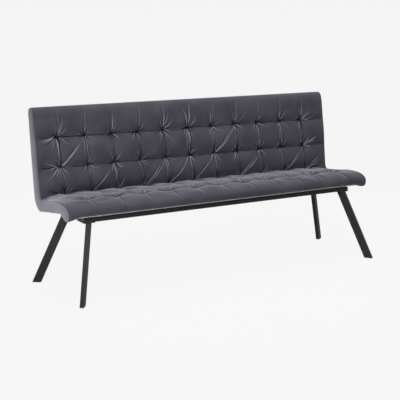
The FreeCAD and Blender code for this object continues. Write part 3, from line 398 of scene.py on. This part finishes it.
for column, outward in ((1, -1), (COLUMNS, 1)):
    for rise, reach in CREASE_FURROWS:
        far_end = tuft(3, column) + np.array([outward * reach, rise])
        raise_fold(tuft(3, column), far_end, height=-3.6, width=2.8, bow=5 * outward,
                   fade_in=14, fade_out=0.6)
for row, height, bow, fade, runs in RIGHT_FOLDS:
    corner = tuft(row, COLUMNS)
    for rise, reach in runs:
        raise_fold(corner + RIGHT_FOOT, corner + np.array([reach, rise]), height=height, width=2.0,
                   bow=bow, fade_in=14, fade_out=fade)
print("folds now from", round(float(lift.min()), 2), "to", round(float(lift.max()), 2), "mm")

# %% [markdown]
# ## Clear pits and slack cloth
# Where many pleats meet they would fill the pit of the tuft, so the folds are taken down there. Between the
# folds the velvet isn't quite taut: long, low waves in several directions keep the pillows from looking
# like plastic.
# %% Clear the pits and slacken the cloth
PIT_CORE = 9.0
PIT_CLEAR = 0.9
WAVES = 14
WAVE_HEIGHT = 0.35
# the waves grow behind the front hem and die away towards the top edge
SLACK_GROWS = (40, 90)
SLACK_DIES = (row_at[4] + 130, row_at[4] + 60)
core = np.max([np.exp(-((from_column / PIT_CORE) ** 2) - (((row_mm - row_at[k]) / PIT_CORE) ** 2)[:, None])
               for k in TUFT_ROWS], axis=0)
lift *= 1 - PIT_CLEAR * core
slack = np.zeros_like(lift)
for wave in range(WAVES):
    length = rng.uniform(70, 170)
    angle = rng.uniform(0, math.pi)
    phase = rng.uniform(0, 2 * math.pi)
    across = x_at[None, :] * math.cos(angle) + row_mm[:, None] * math.sin(angle)
    slack += WAVE_HEIGHT * np.sin(2 * math.pi * across / length + phase)
slack *= (smoothstep(*SLACK_GROWS, row_mm) * smoothstep(*SLACK_DIES, row_mm))[:, None]
print("fold heights", round(float(lift.min()), 2), round(float(lift.max()), 2))

# %% [markdown]
# ## The mesh of the cover
# The rows and columns become one grid: its points are moved to their places, its first and last rows are
# merged under the nose, and its two open ends are closed. Three masks go with the points for painted light
# in the material: the depth of the grooves and the pits with the line of the crease give painted shade, and
# the height of the folds gives painted shade in the furrows and a painted highlight on the crests.
# %% Rows of the closed cover
def section_normals(points):
    """The outward direction of a section line in (y, z)."""
    slope = np.gradient(points, axis=0)
    normal = np.stack([-slope[..., 1], slope[..., 0]], axis=-1)
    return normal / np.linalg.norm(normal, axis=-1, keepdims=True)


TOP_EASE, TUCK_EASE = 6, 12
out = section_normals(section)
end_out = section_normals(end_line)
section = section + out * ((lift + slack) * (1 - plain))[:, :, None]
section = section - end_out[:, None, :] * inset[None, :, None]
share = np.linspace(0, 1, INNER_STEPS)[:, None, None]
to_top = (section[-1:] - inner_line[0]) * np.exp(-TOP_EASE * share)
to_tuck = (section[:1] - inner_line[-1]) * np.exp(-TUCK_EASE * (1 - share))
inner = np.repeat(inner_line[:, None, :], STEPS_X + 1, axis=1) + to_top + to_tuck
inner[-1] = section[0]
loop = np.concatenate([section, inner], axis=0)
LOOP_STEPS = len(loop) - 1
print("rows round the cover", LOOP_STEPS + 1)

# %% Masks for painted shade and highlights
# for each row of tufts, from the seat up: how far the painted shade of its pits reaches sideways, before
# the row and after it
PIT_SHADE_REACH = {1: (15, 24, 15), 2: (15, 15, 20), 3: (14, 15, 32), 4: (14, 15, 32)}
# how far the painted shade of the crease reaches up the back and onto the seat
CREASE_SHADE_ON_BACK, CREASE_SHADE_ON_SEAT = 6.0, 26.0
# the depth of the grooves, for painted shade in them
depth = np.linalg.norm(pillow_line[:, None, :] - section, axis=2) * (1 - plain)
pit_shades = []
for k, (wide, before, after) in PIT_SHADE_REACH.items():
    away = row_mm - row_at[k]
    tall = np.where(away > 0, after, before)
    pit_shades.append(np.exp(-((from_column / wide) ** 2) - ((away / tall) ** 2)[:, None]))
# painted shade along the crease, narrow on the back and wide on the seat
past = row_mm - row_at[2]
crease_shade = np.exp(-((past / np.where(past > 0, CREASE_SHADE_ON_BACK, CREASE_SHADE_ON_SEAT)) ** 2))
# the painted shade along the crease is darker in some places than in others
uneven_crease_shade = 0.6 + 0.12 * np.sin(x_at / 31 + 1.1) + 0.08 * np.sin(x_at / 11)
pit_shades.append(crease_shade[:, None] * uneven_crease_shade[None, :])
# the inner side is never seen and gets no painted shade or highlight
unseen = np.zeros((INNER_STEPS, STEPS_X + 1))
masks = {"groove_shade": np.concatenate([depth, unseen]), "ridge": np.concatenate([lift * (1 - plain), unseen]),
         "pit_and_crease_shade": np.concatenate([np.max(pit_shades, axis=0), unseen])}
print("deepest groove", round(float(depth.max()), 1), "mm")

# %% A grid of cloth
def fresh(name):
    """Names the object that was just added and its mesh."""
    piece = bpy.context.object
    piece.name = name
    piece.data.name = name
    return piece


def cloth_grid(name, steps_x, steps_y):
    """Adds a flat grid and returns it with its points, which run from -1 to 1 both ways."""
    bpy.ops.object.select_all(action="DESELECT")
    bpy.ops.mesh.primitive_grid_add(x_subdivisions=steps_x, y_subdivisions=steps_y, size=2)
    piece = fresh(name)
    spots = np.empty(len(piece.data.vertices) * 3)
    piece.data.vertices.foreach_get("co", spots)
    return piece, spots.reshape(-1, 3)


def step_of(spots, steps):
    """The number of each point's row or column, from its place between -1 and 1."""
    return np.rint((spots + 1) / 2 * steps).astype(int)


cover, spots = cloth_grid("tufted_cover", STEPS_X, LOOP_STEPS)
print("points of the cover", len(spots))

# %% Make the cover mesh
MERGE = 0.00002


def face_outwards():
    """Turns all faces of the active piece outwards."""
    bpy.ops.object.mode_set(mode="EDIT")
    bpy.ops.mesh.select_all(action="SELECT")
    bpy.ops.mesh.normals_make_consistent(inside=False)
    bpy.ops.object.mode_set(mode="OBJECT")


i = step_of(spots[:, 0], STEPS_X)
j = step_of(spots[:, 1], LOOP_STEPS)
placed = np.column_stack([x_at[i], loop[j, i, 0], loop[j, i, 1]]) * MM
cover.data.vertices.foreach_set("co", placed.ravel())
for name, values in masks.items():
    layer = cover.data.attributes.new(name, "FLOAT", "POINT")
    layer.data.foreach_set("value", values[j, i].astype(np.float32))
bpy.ops.object.mode_set(mode="EDIT")
bpy.ops.mesh.select_all(action="SELECT")
bpy.ops.mesh.remove_doubles(threshold=MERGE)
bpy.ops.mesh.select_all(action="DESELECT")
bpy.ops.mesh.select_mode(type="EDGE")
bpy.ops.mesh.select_non_manifold(extend=False)
bpy.ops.mesh.edge_face_add()
bpy.ops.object.mode_set(mode="OBJECT")
face_outwards()
bpy.ops.object.shade_smooth()
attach(cover, "root")
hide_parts("seat_pad", "back_pad")
print("cover", len(cover.data.polygons), "faces")

# %% [markdown]
# ## End panels
# The ends of the bench are closed by smooth panels of the same velvet over thin wadding, a little fuller in
# the middle than at the seam. A panel could be cut from a flat face, but its crown would be missing, so it
# is a grid between a front line and a rear line. The front line follows the edge of the cover, just under
# it, so that no gap shows at the seam.
# %% Outlines of the end panels
END_FRONT = [(258, 889), (237, 881), (223, 860), (215.5, 826), (209.5, 780), (200, 700), (189, 610),
             (181.5, 540), (175.5, 480), (171, 458), (167.5, 449), (161, 445), (152, 443.5), (110, 448.5),
             (60, 455), (0, 463.5), (-60, 467.5), (-110, 466.5), (-150, 461), (-178, 450), (-193, 432),
             (-193, 412), (-184, 399), (-172, 393)]
END_REAR = [(266, 888), (287, 879), (293, 858), (289.5, 826), (284.5, 780), (276.5, 700), (267, 610),
            (258, 540), (250.5, 480), (243, 437), (231.5, 412), (212, 393), (188, 380.5), (128, 385.5),
            (70, 393.5), (8, 402), (-52, 410.5), (-92, 414), (-114, 408), (-132, 399.5), (-146, 394),
            (-156, 391.5), (-164, 390.8)]
PANEL_ALONG = 150
PANEL_TUCK = 2.0
panel_shares = np.linspace(0, 1, PANEL_ALONG + 1)
panel_rear = smooth_path(END_REAR, panel_shares)
tucked = end_line - PANEL_TUCK * end_out
panel_front = tucked[[np.argmin(np.linalg.norm(tucked - spot, axis=1))
                      for spot in smooth_path(END_FRONT, panel_shares)]]
print("end panel seam", round(path_length(panel_front)), "mm")

# %% Make the end panels
PANEL_ACROSS = 16
PANEL_SINK = 5.0
PANEL_CROWN = 4.5
PANEL_REAR_RIM = 0.8
PANEL_TIP = 0.012
PANEL_THICKNESS = 4


def thicken(piece, thickness, offset):
    """Gives a sheet its thickness in millimetres, against its normals at offset -1, both ways at 0."""
    wall = piece.modifiers.new("thickness", "SOLIDIFY")
    wall.thickness = thickness * MM
    wall.offset = offset
    bpy.ops.object.modifier_apply(modifier="thickness")


end_panels = []
for side, name in ((-1, "end_panel_left"), (1, "end_panel_right")):
    panel, spots = cloth_grid(name, PANEL_ACROSS, PANEL_ALONG)
    across = np.sign(spots[:, 0]) * np.abs(np.sin(spots[:, 0] * math.pi / 2))
    k = step_of(spots[:, 1], PANEL_ALONG)
    yz = panel_front[k] + ((across + 1) / 2)[:, None] * (panel_rear[k] - panel_front[k])
    ends = np.minimum(k, PANEL_ALONG - k) / PANEL_ALONG
    full = (1 - np.abs(across) ** 4) * smoothstep(0, PANEL_TIP, ends)
    rim = np.where(across < 0, -PANEL_SINK, PANEL_REAR_RIM)
    x = side * (HALF + rim + (PANEL_CROWN - rim) * full ** 0.6)
    panel.data.vertices.foreach_set("co", (np.column_stack([x, yz]) * MM).ravel())
    face_outwards()
    outside = panel.data.polygons[len(panel.data.polygons) // 2].normal.x * side > 0
    thicken(panel, PANEL_THICKNESS, -1 if outside else 1)
    face_outwards()
    bpy.ops.object.shade_smooth()
    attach(panel, "root")
    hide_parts("left_end_panel" if side < 0 else "right_end_panel")
    end_panels.append(panel)
print("end panels", [len(p.data.polygons) for p in end_panels])

# %% [markdown]
# ## Rear cover
# Behind, one plain sheet of velvet is stretched from the top of the back round the lower corner and under
# the seat. One flat face would do from afar, but stretched cloth never lies quite flat on a board, so it is
# a grid along one line, with a slight crown. A thickness of two millimetres closes it.
# %% Make the rear cover
REAR_LINE = [(289, 866), (292, 858), (288.5, 822), (284, 778), (279.5, 735), (275, 692), (270, 648),
             (265, 605), (259.5, 562), (254, 518), (249, 475), (242, 436), (231, 413), (213, 395),
             (192, 384.5), (173, 380.5), (156, 381.5)]
REAR_ALONG = 90
REAR_ACROSS = 120
REAR_CROWN = 3.0
REAR_OVERLAP = 1
REAR_THICKNESS = 2
rear_line = smooth_path(REAR_LINE, np.linspace(0, 1, REAR_ALONG + 1))
rear, spots = cloth_grid("rear_velvet", REAR_ACROSS, REAR_ALONG)
k = step_of(spots[:, 1], REAR_ALONG)
rear_out = -section_normals(rear_line)
crown = REAR_CROWN * (1 - np.abs(spots[:, 0]) ** 6) * (1 - np.abs(spots[:, 1]) ** 6)
yz = rear_line[k] + rear_out[k] * crown[:, None] * np.sign(rear_out[REAR_ALONG // 2, 0])
placed = np.column_stack([spots[:, 0] * (HALF + REAR_OVERLAP), yz]) * MM
rear.data.vertices.foreach_set("co", placed.ravel())
thicken(rear, REAR_THICKNESS, 0)
face_outwards()
bpy.ops.object.shade_smooth()
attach(rear, "root")
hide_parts("rear_cover")
print("rear cover", len(rear.data.polygons), "faces")

# %% [markdown]
# ## Hem and lining
# A folded hem closes the velvet under the nose, just above the front rail; its pale line is a painted
# highlight in the colour of its velvet.
# It could be a flat strip, but a fold is round, so it is a long cube with bevelled edges. Under the seat
# board a thin black lining keeps the dust out. It is fixed along its edges and hangs a little in the
# middle, so it is a grid that sags, with the tilt of the board.
# %% Make the hem
HEM_LOW, HEM_HIGH = (-879, -183.5, 404.0), (879, -160, 408.2)
HEM_ROUNDING = 2.0
HEM_SEGMENTS = 3
bpy.ops.object.select_all(action="DESELECT")
bpy.ops.mesh.primitive_cube_add(size=1)
hem = fresh("nose_hem_fold")
bpy.ops.object.mode_set(mode="EDIT")
bpy.ops.mesh.select_all(action="SELECT")
bpy.ops.transform.resize(value=[(b - a) * MM for a, b in zip(HEM_LOW, HEM_HIGH)])
bpy.ops.transform.translate(value=[(a + b) / 2 * MM for a, b in zip(HEM_LOW, HEM_HIGH)])
bpy.ops.mesh.bevel(offset=HEM_ROUNDING * MM, segments=HEM_SEGMENTS, profile=0.5, affect="EDGES")
bpy.ops.object.mode_set(mode="OBJECT")
face_outwards()
bpy.ops.object.shade_smooth()
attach(hem, "root")
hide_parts("nose_hem")
print("hem", [round(float(v), 3) for v in hem.dimensions], "m")

# %% Make the lining
LINING_ACROSS, LINING_ALONG = 160, 24
LINING_SAG = 2.0
LINING_THICKNESS = 1
lining_low, lining_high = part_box("underside_cover")
LINING_LENGTH = float(lining_high[0] - lining_low[0])
LINING_DEPTH = float(lining_high[1] - lining_low[1])
lining, spots = cloth_grid("dust_lining", LINING_ACROSS, LINING_ALONG)
sag = LINING_SAG * (1 - spots[:, 0] ** 4) * (1 - spots[:, 1] ** 2)
x = spots[:, 0] * LINING_LENGTH / 2
y = (lining_low[1] + lining_high[1]) / 2 + spots[:, 1] * LINING_DEPTH / 2
slope = (lining_high[2] - lining_low[2] - 2 * MM) / LINING_DEPTH
z = lining_high[2] - MM - (y - lining_low[1]) * slope - sag * MM
lining.data.vertices.foreach_set("co", np.column_stack([x, y, z]).ravel())
thicken(lining, LINING_THICKNESS, -1)
face_outwards()
bpy.ops.object.shade_smooth()
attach(lining, "root")
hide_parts("underside_cover")
print("lining", len(lining.data.polygons), "faces")

# %% [markdown]
# ## One effect for all finishes
# No real surface has one even colour: cloth is brushed, coating is speckled, wood has grain. All of that is
# noise at different sizes, so one node group makes it, and each material places the group with its own
# values. The group reads object space, so the pattern stays on the piece. It puts out a colour between two
# tones, a roughness and a height for the bump.
# %% Build the shared effect
GLOSS_SPAN = (0.3, 0.7)
MOTTLE_INPUTS = {"Stretch": "Vector", "Scale": "Float", "Detail": "Float", "Start": "Float", "End": "Float",
                 "Low": "Color", "High": "Color", "Smooth": "Float", "Rough": "Float"}
MOTTLE_OUTPUTS = {"Color": "Color", "Roughness": "Float", "Height": "Float"}
mottle = bpy.data.node_groups.new("mottle", "ShaderNodeTree")
for in_out, sockets in (("INPUT", MOTTLE_INPUTS), ("OUTPUT", MOTTLE_OUTPUTS)):
    for name, kind in sockets.items():
        mottle.interface.new_socket(name, in_out=in_out, socket_type="NodeSocket" + kind)
given = mottle.nodes.new("NodeGroupInput").outputs
result = mottle.nodes.new("NodeGroupOutput").inputs
space = mottle.nodes.new("ShaderNodeTexCoord")
draw = mottle.nodes.new("ShaderNodeMapping")
noise = mottle.nodes.new("ShaderNodeTexNoise")
level = noise.outputs["Fac"]
span = mottle.nodes.new("ShaderNodeMapRange")
tone = mottle.nodes.new("ShaderNodeMix")
tone.data_type = "RGBA"
gloss = mottle.nodes.new("ShaderNodeMapRange")
gloss.inputs["From Min"].default_value, gloss.inputs["From Max"].default_value = GLOSS_SPAN
for start, end in (
        (space.outputs["Object"], draw.inputs["Vector"]), (given["Stretch"], draw.inputs["Scale"]),
        (draw.outputs["Vector"], noise.inputs["Vector"]), (given["Scale"], noise.inputs["Scale"]),
        (given["Detail"], noise.inputs["Detail"]), (level, span.inputs["Value"]),
        (given["Start"], span.inputs["From Min"]), (given["End"], span.inputs["From Max"]),
        (span.outputs["Result"], tone.inputs["Factor"]), (given["Low"], tone.inputs["A"]),
        (given["High"], tone.inputs["B"]), (tone.outputs["Result"], result["Color"]),
        (level, gloss.inputs["Value"]), (given["Smooth"], gloss.inputs["To Min"]),
        (given["Rough"], gloss.inputs["To Max"]), (gloss.outputs["Result"], result["Roughness"]),
        (level, result["Height"])):
    mottle.links.new(start, end)
print("shared effect", len(mottle.nodes), "nodes")

# %% Start a material and place the effect in it
def new_material(name, rough, metal=0.0):
    material = bpy.data.materials.new(name)
    material.use_nodes = True
    nodes = material.node_tree.nodes
    shader = nodes["Principled BSDF"]
    shader.inputs["Roughness"].default_value = rough
    shader.inputs["Metallic"].default_value = metal
    return material, nodes, material.node_tree.links, shader


def add_mottle(nodes, links, shader, scale, detail, low, high, swing=0.0, stretch=(1, 1, 1),
               tone_span=(0.35, 0.65)):
    """Places the shared effect in a material; a swing above 0 also varies the roughness by that much."""
    node = nodes.new("ShaderNodeGroup")
    node.node_tree = mottle
    rough = shader.inputs["Roughness"].default_value
    start, end = tone_span
    values = {"Stretch": stretch, "Scale": scale, "Detail": detail, "Start": start, "End": end,
              "Low": (*low, 1), "High": (*high, 1), "Smooth": rough - swing, "Rough": rough + swing}
    for name, value in values.items():
        node.inputs[name].default_value = value
    if swing > 0:
        links.new(node.outputs["Roughness"], shader.inputs["Roughness"])
    return node


def add_bump(nodes, links, shader, height_socket, strength, distance):
    bump = nodes.new("ShaderNodeBump")
    bump.inputs["Strength"].default_value = strength
    bump.inputs["Distance"].default_value = distance
    links.new(height_socket, bump.inputs["Height"])
    links.new(bump.outputs["Normal"], shader.inputs["Normal"])


print("the effect takes", list(MOTTLE_INPUTS), "and gives", list(MOTTLE_OUTPUTS))

# %% [markdown]
# ## Velvet
# Velvet is a short pile: it looks dark where the pile points at the eye and pale where the eye skims it. A
# picture of cloth would not turn with the light, so the sheen layer of the shader gives that. The shared
# effect brushes the nap lighter and darker. On the tufted cover the masks paint light and shade into the
# colour: painted shade in the grooves, furrows and pits and along the crease, and a painted highlight on
# the crests. The paler tones of the end panels are a painted sheen, and the pale tone of the hem a painted
# highlight.
# %% Velvet
VELVET_ROUGH = 0.85
VELVET_SWING = 0.08
SHEEN_ROUGH = 0.32
SHEEN_TINT = (0.78, 0.80, 0.92, 1)
VELVET_SPECULAR = 0.2
VELVET_DARK = (0.032, 0.031, 0.041)
VELVET_LIGHT = (0.050, 0.049, 0.063)
# scale and detail of the noise, dark tone and light tone
NAP = (9.0, 4.0, VELVET_DARK, VELVET_LIGHT)
# the end panels are paler: a painted sheen where the eye skims their pile
END_PAINTED_SHEEN = (9.0, 4.0, (0.086, 0.085, 0.096), (0.122, 0.121, 0.134))
# the hem is much paler: a painted highlight along its edge
HEM_PAINTED_HIGHLIGHT = (40.0, 3.0, (0.25, 0.25, 0.265), (0.34, 0.34, 0.355))
PILE = (900.0, 2.0, VELVET_DARK, VELVET_LIGHT)
# painted shade and highlight: mask, value where its tone starts, value where it is full, and the tone
FOLD_SHADE_AND_HIGHLIGHT = (("groove_shade", 7.5, 17.0, (0.004, 0.004, 0.006, 1)),
              ("ridge", -0.4, -2.2, (0.008, 0.008, 0.011, 1)),
              ("ridge", 0.8, 3.8, (0.16, 0.16, 0.18, 1)),
              ("pit_and_crease_shade", 0.15, 0.8, (0.003, 0.003, 0.004, 1)))


def velvet_material(name, sheen, tones, shade_and_highlight=()):
    material, nodes, links, shader = new_material(name, VELVET_ROUGH)
    shader.inputs["Sheen Weight"].default_value = sheen
    shader.inputs["Sheen Roughness"].default_value = SHEEN_ROUGH
    shader.inputs["Sheen Tint"].default_value = SHEEN_TINT
    shader.inputs["Specular IOR Level"].default_value = VELVET_SPECULAR
    colour = add_mottle(nodes, links, shader, *tones, swing=VELVET_SWING).outputs["Color"]
    # the masks lay painted shade and painted highlights over the nap
    for mask, low, high, tone in shade_and_highlight:
        read = nodes.new("ShaderNodeAttribute")
        read.attribute_name = mask
        span = nodes.new("ShaderNodeMapRange")
        span.inputs["From Min"].default_value = low
        span.inputs["From Max"].default_value = high
        mix = nodes.new("ShaderNodeMix")
        mix.data_type = "RGBA"
        mix.inputs["B"].default_value = tone
        links.new(read.outputs["Fac"], span.inputs["Value"])
        links.new(span.outputs["Result"], mix.inputs["Factor"])
        links.new(colour, mix.inputs["A"])
        colour = mix.outputs["Result"]
    links.new(colour, shader.inputs["Base Color"])
    fibres = add_mottle(nodes, links, shader, *PILE)
    add_bump(nodes, links, shader, fibres.outputs["Height"], strength=0.25, distance=0.0006)
    return material


# the tufted cover takes the painted shade and highlights of its folds
cover.data.materials.append(velvet_material("velvet_tufted", 0.95, NAP, FOLD_SHADE_AND_HIGHLIGHT))
rear.data.materials.append(velvet_material("velvet_plain", 0.75, NAP))
# the end panels get the velvet with the painted sheen
end_velvet = velvet_material("velvet_end_painted_sheen", 1.0, END_PAINTED_SHEEN)
for panel in end_panels:
    panel.data.materials.append(end_velvet)
# the hem gets the velvet with the painted highlight
hem.data.materials.append(velvet_material("velvet_hem_painted_highlight", 0.8, HEM_PAINTED_HIGHLIGHT))
print("velvets", [m.name for m in bpy.data.materials if m.name.startswith("velvet_")])

# %% [markdown]
# ## Finishes of the hard pieces
# The steel is powder-coated in matte black, which leaves a fine orange-peel skin. A flat black would hide
# its edges, so fine specks and a low bump break it up. The boards, the battens, the screws and the twine
# are hidden when the bench is whole, but each has its own finish too. Speckled finishes use the shared
# effect as it is; for wood it is drawn out along the length of the bench.
# %% Hard finishes
SPECKLE_DETAIL, SPECKLE_SWING = 3.0, 0.05
GRAIN_SCALE, GRAIN_DETAIL, GRAIN_SWING = 30.0, 5.0, 0.08


def speckled(name, low, high, scale, rough, bump, reach, metal=0.0, shine=0.5):
    """Coating, plastic, plating, twine or web: fine specks with a low bump."""
    material, nodes, links, shader = new_material(name, rough, metal)
    shader.inputs["Specular IOR Level"].default_value = shine
    skin = add_mottle(nodes, links, shader, scale, SPECKLE_DETAIL, low, high, SPECKLE_SWING)
    links.new(skin.outputs["Color"], shader.inputs["Base Color"])
    add_bump(nodes, links, shader, skin.outputs["Height"], bump, reach)
    return material


def grained(name, low, high, stretch, rough):
    """Wood: noise drawn out along the length of the piece."""
    material, nodes, links, shader = new_material(name, rough)
    grain = add_mottle(nodes, links, shader, GRAIN_SCALE, GRAIN_DETAIL, low, high, GRAIN_SWING, stretch,
                       tone_span=(0.0, 1.0))
    links.new(grain.outputs["Color"], shader.inputs["Base Color"])
    add_bump(nodes, links, shader, grain.outputs["Height"], strength=0.1, distance=0.0004)
    return material


finishes = {
    "black_steel": speckled("powder_coat", (0.021, 0.021, 0.0215), (0.030, 0.030, 0.031),
                            scale=420.0, rough=0.6, bump=0.15, reach=0.0003, shine=0.1),
    "black_plastic": speckled("moulded_black", (0.012, 0.012, 0.012), (0.02, 0.02, 0.02),
                              scale=250.0, rough=0.6, bump=0.1, reach=0.0003),
    "zinc_steel": speckled("zinc_plate", (0.42, 0.43, 0.44), (0.58, 0.58, 0.56),
                           scale=160.0, rough=0.35, bump=0.08, reach=0.0002, metal=1.0),
    "plywood": grained("plywood_face", (0.36, 0.24, 0.13), (0.56, 0.41, 0.25), (1.0, 9.0, 9.0), 0.7),
    "timber": grained("pine_batten", (0.42, 0.28, 0.14), (0.62, 0.45, 0.26), (1.0, 12.0, 12.0), 0.65),
    "twine": speckled("waxed_twine", (0.38, 0.33, 0.25), (0.55, 0.49, 0.38),
                      scale=700.0, rough=0.8, bump=0.4, reach=0.0004),
    "lining": speckled("black_web", (0.012, 0.012, 0.013), (0.028, 0.028, 0.03),
                       scale=1400.0, rough=0.95, bump=0.3, reach=0.0003),
}
lining.data.materials.append(finishes["lining"])
print("finishes", list(finishes))

# %% Give each node its finish
FINISH_WORDS = (
    ("black_plastic", ("rail_end_plugs", "foot_cap")),
    ("black_steel", ("front_rail", "rear_rail", "cross_rail", "leg_front", "leg_rear", "leg_plate")),
    ("zinc_steel", ("bolts", "screws", "bracket", "anchors")),
    ("plywood", ("board",)),
    ("timber", ("batten", "corner_rail")),
    ("twine", ("ties",)),
)
node_finish = {}
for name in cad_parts:
    fitting = [finish for finish, words in FINISH_WORDS if any(word in name for word in words)]
    if fitting:
        node_finish[name] = fitting[0]
for name, finish in node_finish.items():
    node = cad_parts[name]
    node.data.materials.clear()
    node.data.materials.append(finishes[finish])
print("finished nodes", len(node_finish))

# %% [markdown]
# ## Floor and surround
# The bench stands on a plain pale floor that runs far behind it, in an even pale surround. If the lamps
# alone had to make the floor that pale, they would bleach the velvet, so the floor and the surround glow
# for rays from the camera, in reflections and through glass. The floor also shows a share of its own
# colour, which keeps a faint shadow under the bench.
# %% Floor
FLOOR_GLOW = 0.962
GLOW_SHARE = 0.92
FLOOR_SIZE = 400
FLOOR_ROUGH = 0.9


def backdrop_rays(nodes, links, share):
    """How far a ray sees the pale backdrop: straight from the camera, in a reflection or through glass."""
    path = nodes.new("ShaderNodeLightPath")
    total = path.outputs["Is Camera Ray"]
    for kind in ("Is Glossy Ray", "Is Transmission Ray"):
        both = nodes.new("ShaderNodeMath")
        both.operation = "MAXIMUM"
        links.new(total, both.inputs[0])
        links.new(path.outputs[kind], both.inputs[1])
        total = both.outputs["Value"]
    part = nodes.new("ShaderNodeMath")
    part.operation = "MULTIPLY"
    part.inputs[1].default_value = share
    links.new(total, part.inputs[0])
    return part.outputs["Value"]


def mix_backdrop(nodes, links, share, plain_shader, glowing_shader, surface):
    """Shows a share of the glow to rays that see the backdrop, and the plain shader to all others."""
    blend = nodes.new("ShaderNodeMixShader")
    links.new(backdrop_rays(nodes, links, share), blend.inputs["Fac"])
    links.new(plain_shader, blend.inputs[1])
    links.new(glowing_shader, blend.inputs[2])
    links.new(blend.outputs["Shader"], surface)


bpy.ops.object.select_all(action="DESELECT")
bpy.ops.mesh.primitive_plane_add(size=FLOOR_SIZE)
floor = fresh("studio_floor")
material, nodes, links, shader = new_material("pale_floor", FLOOR_ROUGH)
tone = add_mottle(nodes, links, shader, scale=0.6, detail=2.0, low=(0.44, 0.44, 0.44),
                  high=(0.46, 0.46, 0.46))
links.new(tone.outputs["Color"], shader.inputs["Base Color"])
glow = nodes.new("ShaderNodeEmission")
glow.inputs["Color"].default_value = (FLOOR_GLOW, FLOOR_GLOW, FLOOR_GLOW, 1)
mix_backdrop(nodes, links, GLOW_SHARE, shader.outputs["BSDF"], glow.outputs["Emission"],
             nodes["Material Output"].inputs["Surface"])
floor.data.materials.append(material)
print("floor", FLOOR_SIZE, "m wide")

# %% Surround
BACKDROP = 0.905
SURROUND_LIGHT = 0.55
world = bpy.data.worlds.new("studio")
bpy.context.scene.world = world
world.use_nodes = True
nodes = world.node_tree.nodes
links = world.node_tree.links
soft = nodes["Background"]
soft.inputs["Color"].default_value = (1, 1, 1, 1)
soft.inputs["Strength"].default_value = SURROUND_LIGHT
seen = nodes.new("ShaderNodeBackground")
seen.inputs["Color"].default_value = (BACKDROP, BACKDROP, BACKDROP, 1)
mix_backdrop(nodes, links, 1.0, soft.outputs["Background"], seen.outputs["Background"],
             nodes["World Output"].inputs["Surface"])
print("surround", BACKDROP, "seen, light", SURROUND_LIGHT)

# %% [markdown]
# ## Lights
# Velvet needs soft light, but with a direction, or its folds vanish. A large panel hangs above the bench.
# A smaller one with a narrow beam stands in front at the upper left, so that each pit has a dark side and
# each fold a pale one. A small low panel at the left lifts the end of the bench.
# %% Lights
def add_light(name, place, aim, width, height, power, spread=180):
    """A rectangular lamp at a place, turned to its aim; the spread of its beam is in degrees."""
    bpy.ops.object.light_add(type="AREA", location=place)
    lamp = bpy.context.object
    lamp.name = name
    lamp.data.name = name
    lamp.data.shape = "RECTANGLE"
    lamp.data.size = width
    lamp.data.size_y = height
    lamp.data.energy = power
    lamp.data.spread = math.radians(spread)
    away = [a - b for a, b in zip(place, aim)]
    flat = math.hypot(away[0], away[1])
    lamp.rotation_euler = (math.atan2(flat, away[2]), 0, math.atan2(away[0], -away[1]))
    return lamp


lamps = [
    add_light("top_panel", (-0.1, -0.2, 3.4), (0, 0, 0.5), width=3.2, height=2.0, power=78),
    add_light("left_panel", (-1.8, -0.5, 0.3), (-0.9, 0.0, 0.48), width=0.8, height=0.4, power=1.4,
              spread=50),
    add_light("front_panel", (-2.3, -3.4, 3.3), (0.15, 0.2, 0.6), width=1.8, height=1.0, power=18.5,
              spread=66),
]
print("lights", {lamp.name: round(lamp.data.energy, 1) for lamp in lamps})

# %% [markdown]
# ## Camera
# The camera stands in front of the bench at its left and looks slightly down on it. Its lens is long, so
# that the long lines stay nearly parallel.
# %% Camera
CAMERA_PLACE = (-2.5470, -4.1800, 1.3746)
CAMERA_AZIMUTH = math.radians(-30.63)
CAMERA_ELEVATION = math.radians(11.55)
CAMERA_LENS = 84.49
CAMERA_SENSOR = 36.0
CAMERA_FAR = 500
camera_data = bpy.data.cameras.new("view")
camera = bpy.data.objects.new("view", camera_data)
bpy.context.collection.objects.link(camera)
camera_data.sensor_width = CAMERA_SENSOR
camera_data.lens = CAMERA_LENS
camera_data.clip_end = CAMERA_FAR
camera.location = CAMERA_PLACE
camera.rotation_euler = (math.pi / 2 - CAMERA_ELEVATION, 0, CAMERA_AZIMUTH)
scene = bpy.context.scene
scene.camera = camera
scene.view_settings.view_transform = "Standard"
print("camera at", CAMERA_PLACE)
